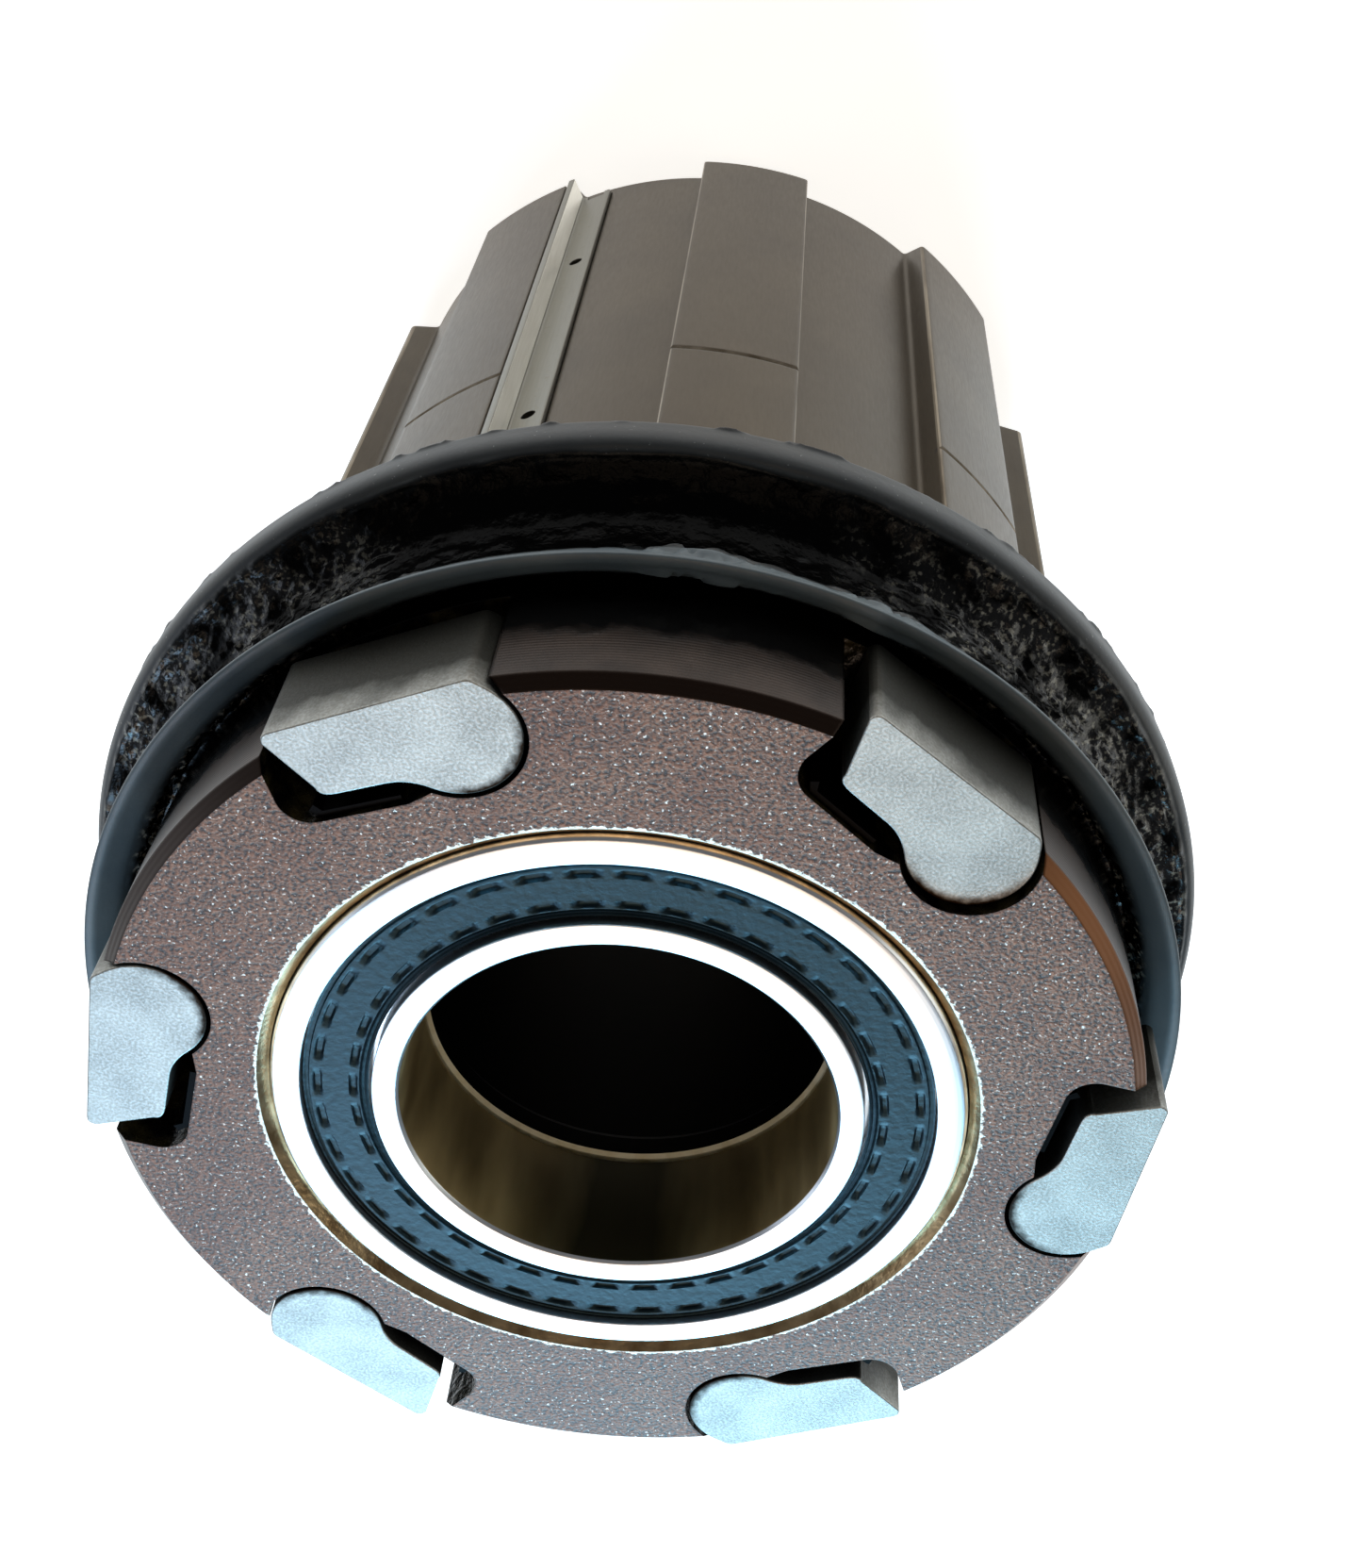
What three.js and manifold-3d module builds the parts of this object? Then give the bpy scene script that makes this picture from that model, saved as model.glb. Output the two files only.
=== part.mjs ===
// Cassette freehub body of a bicycle rear hub, with its pawls, bearings and lip seal.
// Millimetres. +Z runs from the outboard end face (z = 0) up to the inboard pawl face.
import * as THREE from 'three';
import { mergeVertices } from 'three/addons/utils/BufferGeometryUtils.js';
import Module from 'manifold-3d';

const wasm = await Module();
wasm.setup();

// ---- driving dimensions -------------------------------------------------------------------
const bodyLength = 49.5;
const splineRadius = 17.3;
const splineDepth = 1.3;
const splineCount = 9;
const splineHalfWidthDeg = 8.8;
const narrowSplineHalfWidthDeg = 6.0;
const narrowSpline = 4;            // counted counter-clockwise from the first spline
const firstSplineDeg = -99.8;
const crownStock = 0.6;            // turned off the spline crowns
const endChamfer = 0.4;
const witnessLineDrop = 12.5;      // fine turned line round the crowns, below the sprocket stop
const witnessLineWidth = 0.3;
const witnessLineDepth = 0.12;

const collarStep = 0.6;            // collar proud of the spline crowns
const collarWidth = 6.2;
const collarChamfer = 0.42;
const flangeStep = 1.0;            // flange proud of the collar
const flangeWidth = 1.4;
const sealSeatWidth = 5.1;
const sealSeatDepth = 1.5;         // below the collar

const lockringWall = 1.2;          // between the spline grooves and the lockring mouth
const lockringBoreDepth = 8.0;
const middleBoreStep = 0.8;        // the middle bore is this much smaller than a bearing seat
const boreChamfer = 0.35;
const boreOverrun = 1;             // cutting tools run this far past the end faces

const pawlCount = 6;
const firstPawlDeg = -74.6;
const pawlPivotInset = 1.67;       // below the collar
const pawlHeelRadius = 2.1;
const pawlHeelFromDeg = 143;
const pawlHeelToDeg = 312;
const pawlReach = 5.45;            // pivot to the start of the nose, along the tangent
const pawlTailHeight = 1.9;        // the outer flat falls from its tail to its nose
const pawlTailBehind = 1.1;
const pawlNoseHeight = 1.52;
const pawlNoseRound = 0.36;
const pawlNoseRake = 0.6;          // the nose leans back this far across its face
const pawlUnderside = 1.12;        // below the pivot
const pawlWaistEnd = 2.6;
const pawlWidth = 4.0;             // along the axis
const pocketEndFloat = 1.0;
const pawlSocketClearance = 0.15;
const pocketFloor = 2.0;           // below the pivot
const pocketFloorStart = 2.25;
const pocketSocketLipDeg = -44;
const pocketSocketEndDeg = -218;
const pocketCorner = 1.05;
const pocketNoseGap = 0.8;
const sunkPawl = 2;                // this pawl has slid down by part of its end float
const sunkPawlDepth = 0.3;
const springThickness = 0.2;
const springStart = 2.45;
const springEndGap = 0.3;          // between the spring's tip and the start of the pawl's nose
const springCurl = 0.3;
const springSideGap = 0.2;          // on each side, against the pawl's width

const bearingSeatInset = 5.3;      // below the spline crowns
const bearingSection = 4.5;        // outer radius less bore radius
const bearingWidth = 5.0;
const ballRadius = 1.19;
const ballCount = 18;
const raceClearance = 0.09;
const cageHalfThickness = 0.4;
const cageOverhang = 0.1;
const ringChamfer = 0.25;
const outerLandWidth = 1.1;
const innerLandWidth = 0.95;
const raceShoulder = 0.75;         // how far a shoulder stands from the pitch circle
const ringSealThickness = 0.45;
const ringSealRecess = 0.25;
const ringSealSlot = 0.9;
const inboardBearingRecess = 0.05;

const circlipThickness = 1.0;
const circlipGrooveDepth = 0.7;
const circlipSetback = 0.8;        // from the floor of the lockring mouth
const circlipBand = 1.5;
const circlipGapDeg = 16;
const circlipLugRadius = 1.15;
const circlipLugInset = 0.15;
const circlipLugOffsetDeg = 3;
const circlipEyeRadius = 0.5;
const circlipEyeInset = 0.2;
const sleeveWall = 0.75;
const sleeveBoreStep = 0.1;

const rearLipReach = 3.13;         // lips beyond the collar
const frontLipReach = 1.76;
const rearLipWidth = 1.2;
const rearLipRound = 0.25;
const lipSpread = 1.8;             // how far the front lip flares past its seat
const lipThickness = 0.35;
const sealNeckReach = 0.4;         // the valley between the lips, beyond the collar
const sealRootReach = 0.2;

const guardThickness = 0.35;
const guardReach = 1.45;           // how far the foot of the guard lies across the groove
const guardInset = 0.02;           // the guard's edge stays this far inside the spline crown
const guardStart = 1.0;
const guardHoleRadius = 0.32;
const guardHoleShares = [0.28, 0.7255];
const guardNotch = 0.45;
const guardMouth = 1.0;            // the guard's slot is open outwards by this much

const slip = 0.05;                 // between pieces pressed or stacked together
const runningGap = 0.15;           // between pieces that turn past each other

const bodySegments = 60;
const sealSegments = 48;
const ringSegments = 36;
const raceSteps = 4;

// ---- worked out -----------------------------------------------------------------------------
const deg = THREE.MathUtils.degToRad;
const grooveRadius = splineRadius - splineDepth;
const collarBottom = bodyLength - collarWidth;
const flangeTop = collarBottom - sealSeatWidth;
const splineLength = flangeTop - flangeWidth;
const witnessLineHeight = splineLength - witnessLineDrop;
const collarRadius = splineRadius + collarStep;
const flangeRadius = collarRadius + flangeStep;
const sealSeatRadius = collarRadius - sealSeatDepth;
const lockringBoreRadius = grooveRadius - lockringWall;
const bearingOuterRadius = splineRadius - bearingSeatInset;
const bearingBoreRadius = bearingOuterRadius - bearingSection;
const middleBoreRadius = bearingOuterRadius - middleBoreStep;
const pitchRadius = (bearingOuterRadius + bearingBoreRadius) / 2;
const outerLandRadius = bearingOuterRadius - outerLandWidth;
const innerLandRadius = bearingBoreRadius + innerLandWidth;
const raceRadius = ballRadius + raceClearance;
const inboardBearingBottom = bodyLength - inboardBearingRecess - bearingWidth;
const circlipBottom = lockringBoreDepth + circlipSetback;
const outboardBearingBottom = circlipBottom + circlipThickness + 2 * slip;
const pawlPivotRadius = collarRadius - pawlPivotInset;
const pocketDepth = pawlWidth + pocketEndFloat;
const springEnd = pawlReach - springEndGap;
const springWidth = pawlWidth - 2 * springSideGap;
const guardSpline = 1;             // the guard backs the clockwise flank of this spline
const guardFlankDeg = firstSplineDeg + 360 / splineCount * guardSpline - splineHalfWidthDeg;
const guardTop = splineLength - slip;

// ---- solids ---------------------------------------------------------------------------------
function toSolid(geometry) {
  const bare = geometry.clone();
  bare.deleteAttribute('normal');
  bare.deleteAttribute('uv');
  const merged = mergeVertices(bare, 1e-4);
  const index = merged.index.array;
  const triangles = [];
  for (let i = 0; i < index.length; i += 3) {
    const [a, b, c] = [index[i], index[i + 1], index[i + 2]];
    if (a !== b && b !== c && c !== a) triangles.push(a, b, c);
  }
  return new wasm.Manifold(new wasm.Mesh({
    numProp: 3,
    vertProperties: new Float32Array(merged.attributes.position.array),
    triVerts: new Uint32Array(triangles),
  }));
}

function toGeometry(solid) {
  const mesh = solid.getMesh();
  const geometry = new THREE.BufferGeometry();
  geometry.setAttribute('position', new THREE.BufferAttribute(new Float32Array(mesh.vertProperties), 3));
  geometry.setIndex(new THREE.BufferAttribute(new Uint32Array(mesh.triVerts), 1));
  return geometry;
}

// Turns a closed (radius, height) profile, listed counter-clockwise, round Z.
function turned(profile, segments) {
  const points = profile.map(([r, z]) => new THREE.Vector2(r, z));
  points.push(points[0].clone());
  const geometry = new THREE.LatheGeometry(points, segments);
  geometry.rotateX(Math.PI / 2);
  return toSolid(geometry);
}

// A plug of revolution about Z: the profile's ends are closed onto the axis.
function plug(profile, segments) {
  const [first, last] = [profile[0], profile[profile.length - 1]];
  const points = [[0, first[1]], ...profile, [0, last[1]]].map(([r, z]) => new THREE.Vector2(r, z));
  const geometry = new THREE.LatheGeometry(points, segments);
  geometry.rotateX(Math.PI / 2);
  return toSolid(geometry);
}

function prism(shape, bottom, height, curveSegments = 8) {
  const geometry = new THREE.ExtrudeGeometry(shape, { depth: height, bevelEnabled: false, curveSegments });
  geometry.translate(0, 0, bottom);
  return toSolid(geometry);
}

function boxShape(x0, x1, y0, y1) {
  return new THREE.Shape([[x0, y0], [x1, y0], [x1, y1], [x0, y1]].map(([x, y]) => new THREE.Vector2(x, y)));
}

function discShape(x, y, radius) {
  const shape = new THREE.Shape();
  shape.absarc(x, y, radius, 0, 2 * Math.PI, false);
  return shape;
}

function turnedTo(solid, degrees) {
  return solid.rotate([0, 0, degrees]);
}

// Arc points of a (radius, height) profile round a centre, from one angle to another.
function arcPoints(centreR, centreZ, radius, fromDeg, toDeg, steps) {
  const points = [];
  for (let i = 0; i <= steps; i += 1) {
    const angle = deg(fromDeg + (toDeg - fromDeg) * i / steps);
    points.push([centreR + radius * Math.cos(angle), centreZ + radius * Math.sin(angle)]);
  }
  return points;
}

// ---- materials ------------------------------------------------------------------------------
const look = (color, roughness, metalness) => new THREE.MeshStandardMaterial({ color, roughness, metalness });
const anodised = look('#6f645e', 0.55, 0.6);
const pawlSteel = look('#a8a6a2', 0.4, 0.9);
const springSteel = look('#8d8f92', 0.3, 1.0);
const guardSteel = look('#c9c6ba', 0.25, 1.0);
const sealRubber = look('#121416', 0.35, 0.0);
const ringSteel = look('#c6cdd4', 0.2, 1.0);
const ballSteel = look('#d8dadd', 0.1, 1.0);
const shieldRubber = look('#2c3640', 0.6, 0.0);
const sleeveAlloy = look('#2b2927', 0.5, 0.5);
const clipSteel = look('#3b3a38', 0.4, 0.8);

const freehub = new THREE.Group();

function addPiece(name, solid, material, parent = freehub) {
  const mesh = new THREE.Mesh(toGeometry(solid), material);
  mesh.name = name;
  parent.add(mesh);
  return mesh;
}

// ---- freehub body ---------------------------------------------------------------------------
// The splines run a little past their crowns here: splineEnvelope turns them down.
function splineOutline() {
  const shape = new THREE.Shape();
  const pitch = 360 / splineCount;
  const start = deg(firstSplineDeg - splineHalfWidthDeg);
  shape.moveTo(grooveRadius * Math.cos(start), grooveRadius * Math.sin(start));
  for (let i = 0; i < splineCount; i += 1) {
    const half = i === narrowSpline ? narrowSplineHalfWidthDeg : splineHalfWidthDeg;
    const nextHalf = (i + 1) % splineCount === narrowSpline ? narrowSplineHalfWidthDeg : splineHalfWidthDeg;
    const centre = firstSplineDeg + pitch * i;
    const crown = splineRadius + crownStock;
    shape.lineTo(crown * Math.cos(deg(centre - half)), crown * Math.sin(deg(centre - half)));
    shape.lineTo(crown * Math.cos(deg(centre + half)), crown * Math.sin(deg(centre + half)));
    shape.absarc(0, 0, grooveRadius, deg(centre + half), deg(centre + pitch - nextHalf), false);
  }
  shape.closePath();
  return shape;
}

// What the splines are turned down to: a lead-in at the outboard end and the fine witness line.
function splineEnvelope() {
  return plug([
    [grooveRadius - endChamfer, 0],
    [grooveRadius, endChamfer],
    [splineRadius, endChamfer + splineDepth],
    [splineRadius, witnessLineHeight - witnessLineWidth / 2],
    [splineRadius - witnessLineDepth, witnessLineHeight],
    [splineRadius, witnessLineHeight + witnessLineWidth / 2],
    [splineRadius, splineLength],
  ], bodySegments);
}

function bodyCore() {
  return plug([
    [grooveRadius - 1, splineLength - 1],
    [grooveRadius - 1, splineLength],
    [flangeRadius, splineLength],
    [flangeRadius, flangeTop],
    [sealSeatRadius, flangeTop],
    [sealSeatRadius, collarBottom],
    [collarRadius, collarBottom],
    [collarRadius, bodyLength - collarChamfer],
    [collarRadius - collarChamfer, bodyLength],
  ], bodySegments);
}

function bodyBore() {
  const seat = bearingOuterRadius;
  const seatTop = outboardBearingBottom + bearingWidth + slip;
  return plug([
    [lockringBoreRadius + boreChamfer, -boreOverrun],
    [lockringBoreRadius + boreChamfer, 0],
    [lockringBoreRadius, boreChamfer],
    [lockringBoreRadius, lockringBoreDepth],
    [seat, lockringBoreDepth],
    [seat, circlipBottom - slip],
    [seat + circlipGrooveDepth, circlipBottom - slip],
    [seat + circlipGrooveDepth, circlipBottom + circlipThickness + slip],
    [seat, circlipBottom + circlipThickness + slip],
    [seat, seatTop],
    [middleBoreRadius, seatTop],
    [middleBoreRadius, inboardBearingBottom - slip],
    [seat, inboardBearingBottom - slip],
    [seat, bodyLength - boreChamfer],
    [seat + boreChamfer, bodyLength],
    [seat + boreChamfer, bodyLength + boreOverrun],
  ], bodySegments);
}

// Outlines round a pawl's pivot: first value outwards from the hub's axis, second along the tangent.
function pocketOutline() {
  const socket = pawlHeelRadius + pawlSocketClearance;
  const noseWall = pawlReach + pocketNoseGap;
  const mouth = flangeRadius - pawlPivotRadius;
  const lip = deg(pocketSocketLipDeg);
  const end = deg(pocketSocketEndDeg);
  const [endX, endY] = [socket * Math.cos(end), socket * Math.sin(end)];
  const [bendX, bendY] = [(endX - pocketFloor) / 2, (endY + pocketFloorStart) / 2];
  const shape = new THREE.Shape();
  shape.moveTo(mouth, socket * Math.sin(lip));
  shape.absarc(0, 0, socket, lip, end, true);
  shape.quadraticCurveTo(bendX, bendY, -pocketFloor, pocketFloorStart);
  shape.lineTo(-pocketFloor, noseWall - pocketCorner);
  shape.absarc(pocketCorner - pocketFloor, noseWall - pocketCorner, pocketCorner, deg(180), deg(90), true);
  shape.lineTo(mouth, noseWall);
  shape.closePath();
  return shape;
}

function pawlOutline() {
  const waist = deg(pawlHeelFromDeg);
  const tip = pawlReach + pawlNoseRound;
  const rake = pawlReach - pawlNoseRake;
  const shape = new THREE.Shape();
  shape.moveTo(pawlTailHeight, -pawlTailBehind);
  shape.lineTo(pawlNoseHeight, pawlReach);
  shape.quadraticCurveTo(pawlNoseHeight, tip, pawlNoseHeight - pawlNoseRound, tip);
  shape.lineTo(-pawlUnderside + pawlNoseRound, rake);
  shape.quadraticCurveTo(-pawlUnderside, rake, -pawlUnderside, rake - pawlNoseRake);
  shape.lineTo(-pawlUnderside, pawlWaistEnd);
  shape.quadraticCurveTo(
    -pawlUnderside,
    (pawlWaistEnd + pawlHeelRadius * Math.sin(waist)) / 2,
    pawlHeelRadius * Math.cos(waist),
    pawlHeelRadius * Math.sin(waist),
  );
  shape.absarc(0, 0, pawlHeelRadius, waist, deg(pawlHeelToDeg), false);
  shape.closePath();
  return shape;
}

// A flat leaf on the pocket's floor, with its end curled up towards the pawl.
function springOutline() {
  const bottom = slip - pocketFloor;
  const top = bottom + springThickness;
  const points = [
    [bottom, springStart],
    [bottom, springEnd],
    [bottom + springCurl, springEnd + springCurl],
    [top + springCurl, springEnd + springCurl - springThickness],
    [top, springEnd - springThickness / 2],
    [top, springStart],
  ];
  return new THREE.Shape(points.map(([x, y]) => new THREE.Vector2(x, y)));
}

// The guard's section: first value outwards from the axis, second from the flank into the spline.
// A slot is the same section grown by a clearance and left open outwards.
function guardLegShape(grow, open) {
  const outer = splineRadius - guardInset + open;
  return boxShape(grooveRadius - guardThickness / 2 - grow, outer, -grow, guardThickness + grow);
}

function guardFootShape(grow, open) {
  const half = guardThickness / 2;
  const outer = grooveRadius + half + open;
  return boxShape(grooveRadius - half - grow, outer, -guardReach - grow, guardThickness + grow);
}

function guardSlot() {
  const bottom = guardStart - slip;
  const height = splineLength - bottom;
  const leg = prism(guardLegShape(slip, guardMouth), bottom, height);
  const slot = leg.add(prism(guardFootShape(slip, guardThickness), bottom, height));
  return turnedTo(slot, guardFlankDeg);
}

function freehubBody() {
  const barrel = prism(splineOutline(), 0, splineLength, 2).intersect(splineEnvelope());
  let body = barrel.add(bodyCore()).subtract(bodyBore()).subtract(guardSlot());
  const pocket = prism(pocketOutline(), bodyLength - pocketDepth, pocketDepth + boreOverrun, 5);
  for (let i = 0; i < pawlCount; i += 1) {
    const placed = pocket.translate([pawlPivotRadius, 0, 0]);
    body = body.subtract(turnedTo(placed, firstPawlDeg - 360 / pawlCount * i));
  }
  return body;
}

function biteGuard() {
  const height = guardTop - guardStart;
  const through = 4 * guardThickness;
  let guard = prism(guardLegShape(0, 0), guardStart, height);
  guard = guard.add(prism(guardFootShape(0, 0), guardStart, height));
  for (const share of guardHoleShares) {
    const hole = new THREE.CylinderGeometry(guardHoleRadius, guardHoleRadius, through, 10);
    hole.rotateZ(Math.PI / 2);
    hole.translate(grooveRadius, -guardReach / 2, splineLength * share);
    guard = guard.subtract(toSolid(hole));
  }
  const notch = new THREE.CylinderGeometry(guardNotch, guardNotch, through, 4);
  notch.rotateZ(Math.PI / 2);
  notch.translate(grooveRadius, -guardReach / 2, guardStart);
  return turnedTo(guard.subtract(toSolid(notch)), guardFlankDeg);
}

// ---- seals and bearings ---------------------------------------------------------------------
// Two lips on one foot: the rear one is a thick disc, the front one flares towards the pawls.
function lipSeal() {
  const inner = sealSeatRadius + slip;
  const bottom = flangeTop + slip;
  const top = collarBottom - slip;
  const rear = collarRadius + rearLipReach;
  const front = collarRadius + frontLipReach;
  const neck = collarRadius + sealNeckReach;
  const root = collarRadius + sealRootReach;
  const frontStart = top - rearLipWidth;
  return turned([
    [inner, bottom],
    [rear - 2 * lipThickness, bottom + slip],
    [rear - rearLipRound / 2, bottom + slip],
    [rear, bottom + rearLipRound + slip],
    [rear, bottom + rearLipWidth + rearLipRound],
    [rear - rearLipRound, bottom + rearLipWidth + 2 * rearLipRound],
    [(rear + neck) / 2, bottom + rearLipWidth + 3 * rearLipRound],
    [neck + lipThickness / 2, bottom + 2 * rearLipWidth + 2 * rearLipRound],
    [neck, (frontStart + top) / 2],
    [neck + 2 * lipThickness, top + lipThickness],
    [front, top + lipSpread],
    [front - lipThickness / 2, top + lipSpread + lipThickness / 3],
    [front - lipThickness, top + lipSpread],
    [root + lipThickness, top + lipThickness],
    [root, top],
    [inner, top],
  ], sealSegments);
}

function outerRing() {
  const outside = bearingOuterRadius - slip;
  const shoulder = pitchRadius + raceShoulder;
  const raceDeg = THREE.MathUtils.radToDeg(Math.acos(raceShoulder / raceRadius));
  const middle = bearingWidth / 2;
  return turned([
    [outside, ringChamfer],
    [outside, bearingWidth - ringChamfer],
    [outside - ringChamfer, bearingWidth],
    [outerLandRadius, bearingWidth],
    [outerLandRadius, bearingWidth - ringSealSlot],
    [shoulder, bearingWidth - ringSealSlot],
    ...arcPoints(pitchRadius, middle, raceRadius, raceDeg, -raceDeg, raceSteps),
    [shoulder, ringSealSlot],
    [outerLandRadius, ringSealSlot],
    [outerLandRadius, 0],
    [outside - ringChamfer, 0],
  ], ringSegments);
}

function innerRing() {
  const shoulder = pitchRadius - raceShoulder;
  const raceDeg = THREE.MathUtils.radToDeg(Math.acos(raceShoulder / raceRadius));
  const middle = bearingWidth / 2;
  return turned([
    [bearingBoreRadius, ringChamfer],
    [bearingBoreRadius + ringChamfer, 0],
    [innerLandRadius, 0],
    [innerLandRadius, ringSealSlot],
    [shoulder, ringSealSlot],
    ...arcPoints(pitchRadius, middle, raceRadius, 180 + raceDeg, 180 - raceDeg, raceSteps),
    [shoulder, bearingWidth - ringSealSlot],
    [innerLandRadius, bearingWidth - ringSealSlot],
    [innerLandRadius, bearingWidth],
    [bearingBoreRadius + ringChamfer, bearingWidth],
    [bearingBoreRadius, bearingWidth - ringChamfer],
  ], ringSegments);
}

// The balls sit in a snap cage and turn with it as one piece.
function ballCage() {
  const half = cageHalfThickness;
  const reach = ballRadius + cageOverhang;
  const middle = bearingWidth / 2;
  let cage = turned([
    [pitchRadius - half, middle - reach],
    [pitchRadius + half, middle - reach],
    [pitchRadius + half, middle + reach],
    [pitchRadius - half, middle + reach],
  ], ringSegments);
  for (let i = 0; i < ballCount; i += 1) {
    const ball = new THREE.SphereGeometry(ballRadius, 8, 4);
    ball.translate(pitchRadius, 0, middle);
    cage = cage.add(turnedTo(toSolid(ball), 360 / ballCount * i));
  }
  return cage;
}

function ringSeal(bottom) {
  const outside = outerLandRadius - slip;
  const inside = innerLandRadius + runningGap;
  return turned([
    [inside, bottom],
    [outside, bottom],
    [outside, bottom + ringSealThickness],
    [inside, bottom + ringSealThickness],
  ], ringSegments);
}

function addBearing(prefix, bottom, facesUp) {
  const bearing = new THREE.Group();
  bearing.position.z = bottom;
  freehub.add(bearing);
  const lowSeal = ringSeal(ringSealRecess);
  const highSeal = ringSeal(bearingWidth - ringSealRecess - ringSealThickness);
  addPiece(`${prefix}_outer_ring`, outerRing(), ringSteel, bearing);
  addPiece(`${prefix}_inner_ring`, innerRing(), ringSteel, bearing);
  addPiece(`${prefix}_ball_cage`, ballCage(), ballSteel, bearing);
  addPiece(`${prefix}_seal_outer`, facesUp ? highSeal : lowSeal, shieldRubber, bearing);
  addPiece(`${prefix}_seal_inner`, facesUp ? lowSeal : highSeal, shieldRubber, bearing);
}

function spacerSleeve() {
  const bottom = outboardBearingBottom + bearingWidth + slip;
  const top = inboardBearingBottom - slip;
  const inside = bearingBoreRadius + sleeveBoreStep;
  const outside = inside + sleeveWall;
  return turned([[inside, bottom], [outside, bottom], [outside, top], [inside, top]], ringSegments);
}

function circlip() {
  const outside = bearingOuterRadius + circlipGrooveDepth - runningGap;
  const inside = outside - circlipBand;
  const band = new THREE.Shape();
  band.absarc(0, 0, outside, deg(circlipGapDeg), deg(360 - circlipGapDeg), false);
  band.absarc(0, 0, inside, deg(360 - circlipGapDeg), deg(circlipGapDeg), true);
  band.closePath();
  let clip = prism(band, circlipBottom, circlipThickness, 14);
  const lugMiddle = inside + circlipLugInset;
  for (const side of [-1, 1]) {
    const angle = side * deg(circlipGapDeg + circlipLugOffsetDeg);
    const [x, y] = [lugMiddle * Math.cos(angle), lugMiddle * Math.sin(angle)];
    const lug = prism(discShape(x, y, circlipLugRadius), circlipBottom, circlipThickness);
    const eyeShape = discShape(x - circlipEyeInset, y, circlipEyeRadius);
    const eye = prism(eyeShape, circlipBottom - slip, circlipThickness + 2 * slip, 6);
    clip = clip.add(lug).subtract(eye);
  }
  return clip;
}

// ---- pawls ----------------------------------------------------------------------------------
function addPawls() {
  const pawl = prism(pawlOutline(), -pawlWidth, pawlWidth, 5);
  const spring = prism(springOutline(), -pawlWidth + springSideGap, springWidth);
  for (let i = 0; i < pawlCount; i += 1) {
    const angle = deg(firstPawlDeg - 360 / pawlCount * i);
    const seat = new THREE.Group();
    seat.position.set(pawlPivotRadius * Math.cos(angle), pawlPivotRadius * Math.sin(angle), bodyLength);
    seat.rotation.z = angle;
    freehub.add(seat);
    const mesh = addPiece(`pawl_${i + 1}`, pawl, pawlSteel, seat);
    mesh.position.z = i + 1 === sunkPawl ? -sunkPawlDepth : 0;
    addPiece(`pawl_spring_${i + 1}`, spring, springSteel, seat);
  }
}

addPiece('freehub_body', freehubBody(), anodised);
addPiece('bite_guard', biteGuard(), guardSteel);
addPiece('lip_seal', lipSeal(), sealRubber);
addBearing('inboard', inboardBearingBottom, true);
addBearing('outboard', outboardBearingBottom, false);
addPiece('spacer_sleeve', spacerSleeve(), sleeveAlloy);
addPiece('circlip', circlip(), clipSteel);
addPawls();

export default freehub;
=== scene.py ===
"""A bicycle rear hub's cassette freehub: splined body, six pawls, lip seal and two sealed bearings.

It stands on its outboard end, with the pawl face up. Lengths are in millimetres until a mesh is made.
"""

import math

import bmesh
import bpy
from mathutils import Matrix, Quaternion, Vector, noise


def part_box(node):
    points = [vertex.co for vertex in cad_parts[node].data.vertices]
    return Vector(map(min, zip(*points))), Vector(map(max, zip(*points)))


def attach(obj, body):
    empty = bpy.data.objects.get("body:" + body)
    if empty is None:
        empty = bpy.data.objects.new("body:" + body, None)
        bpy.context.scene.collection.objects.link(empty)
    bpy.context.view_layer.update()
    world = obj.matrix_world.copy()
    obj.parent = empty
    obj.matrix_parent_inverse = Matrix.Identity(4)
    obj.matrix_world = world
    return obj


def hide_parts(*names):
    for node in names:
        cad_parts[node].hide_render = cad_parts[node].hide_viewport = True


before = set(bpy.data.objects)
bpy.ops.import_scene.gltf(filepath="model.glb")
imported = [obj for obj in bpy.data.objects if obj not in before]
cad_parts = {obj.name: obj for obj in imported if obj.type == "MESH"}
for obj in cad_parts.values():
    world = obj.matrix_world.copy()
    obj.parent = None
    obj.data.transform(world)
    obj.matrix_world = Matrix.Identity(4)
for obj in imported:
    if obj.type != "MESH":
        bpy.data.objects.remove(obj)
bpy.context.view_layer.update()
MM = 0.001
WAVE_RATE = 20  # a wave texture turns this many radians for each unit of its scale
COLOUR = {"out": 2, "data_type": "RGBA"}  # a mix of two colours: inputs 6 and 7, and output 2

# ---- sizes of the real part -----------------------------------------------------------------
BODY_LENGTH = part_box("freehub_body")[1].z / MM
SPLINE_LENGTH = 36.8
SPLINE_RADIUS = 17.3
GROOVE_RADIUS = 16.0
SPLINE_COUNT = 9
SPLINE_HALF_DEG = 8.8
NARROW_HALF_DEG = 6.0
NARROW_SPLINE = 4
FIRST_SPLINE_DEG = -99.8
WITNESS_HEIGHT = 24.3
FLANGE_RADIUS = 18.9
FLANGE_TOP = 38.2
COLLAR_RADIUS = 17.9
COLLAR_BOTTOM = 43.3
COLLAR_CHAMFER = 0.42
SEAL_GROOVE_RADIUS = 16.4
MOUTH_RADIUS = 14.8
MOUTH_DEPTH = 8.0
THREAD_PITCH = 1.06
THREAD_DEPTH = 0.35
THREAD_START = 0.5
THREAD_LENGTH = 6.6
THREAD_END = 7.0
THREAD_RUNOUT = 0.8
SEAT_RADIUS = 12.0
BORE_CHAMFER = 0.35
MIDDLE_BORE_RADIUS = 11.2
CIRCLIP_BOTTOM = 8.8
CIRCLIP_GROOVE_DEPTH = 0.7
CIRCLIP_GROOVE_WIDTH = 1.1
CIRCLIP_PLAY = 0.05
OUTBOARD_SEAT_END = CIRCLIP_BOTTOM + 6.15
PAWL_COUNT = 6
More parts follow.
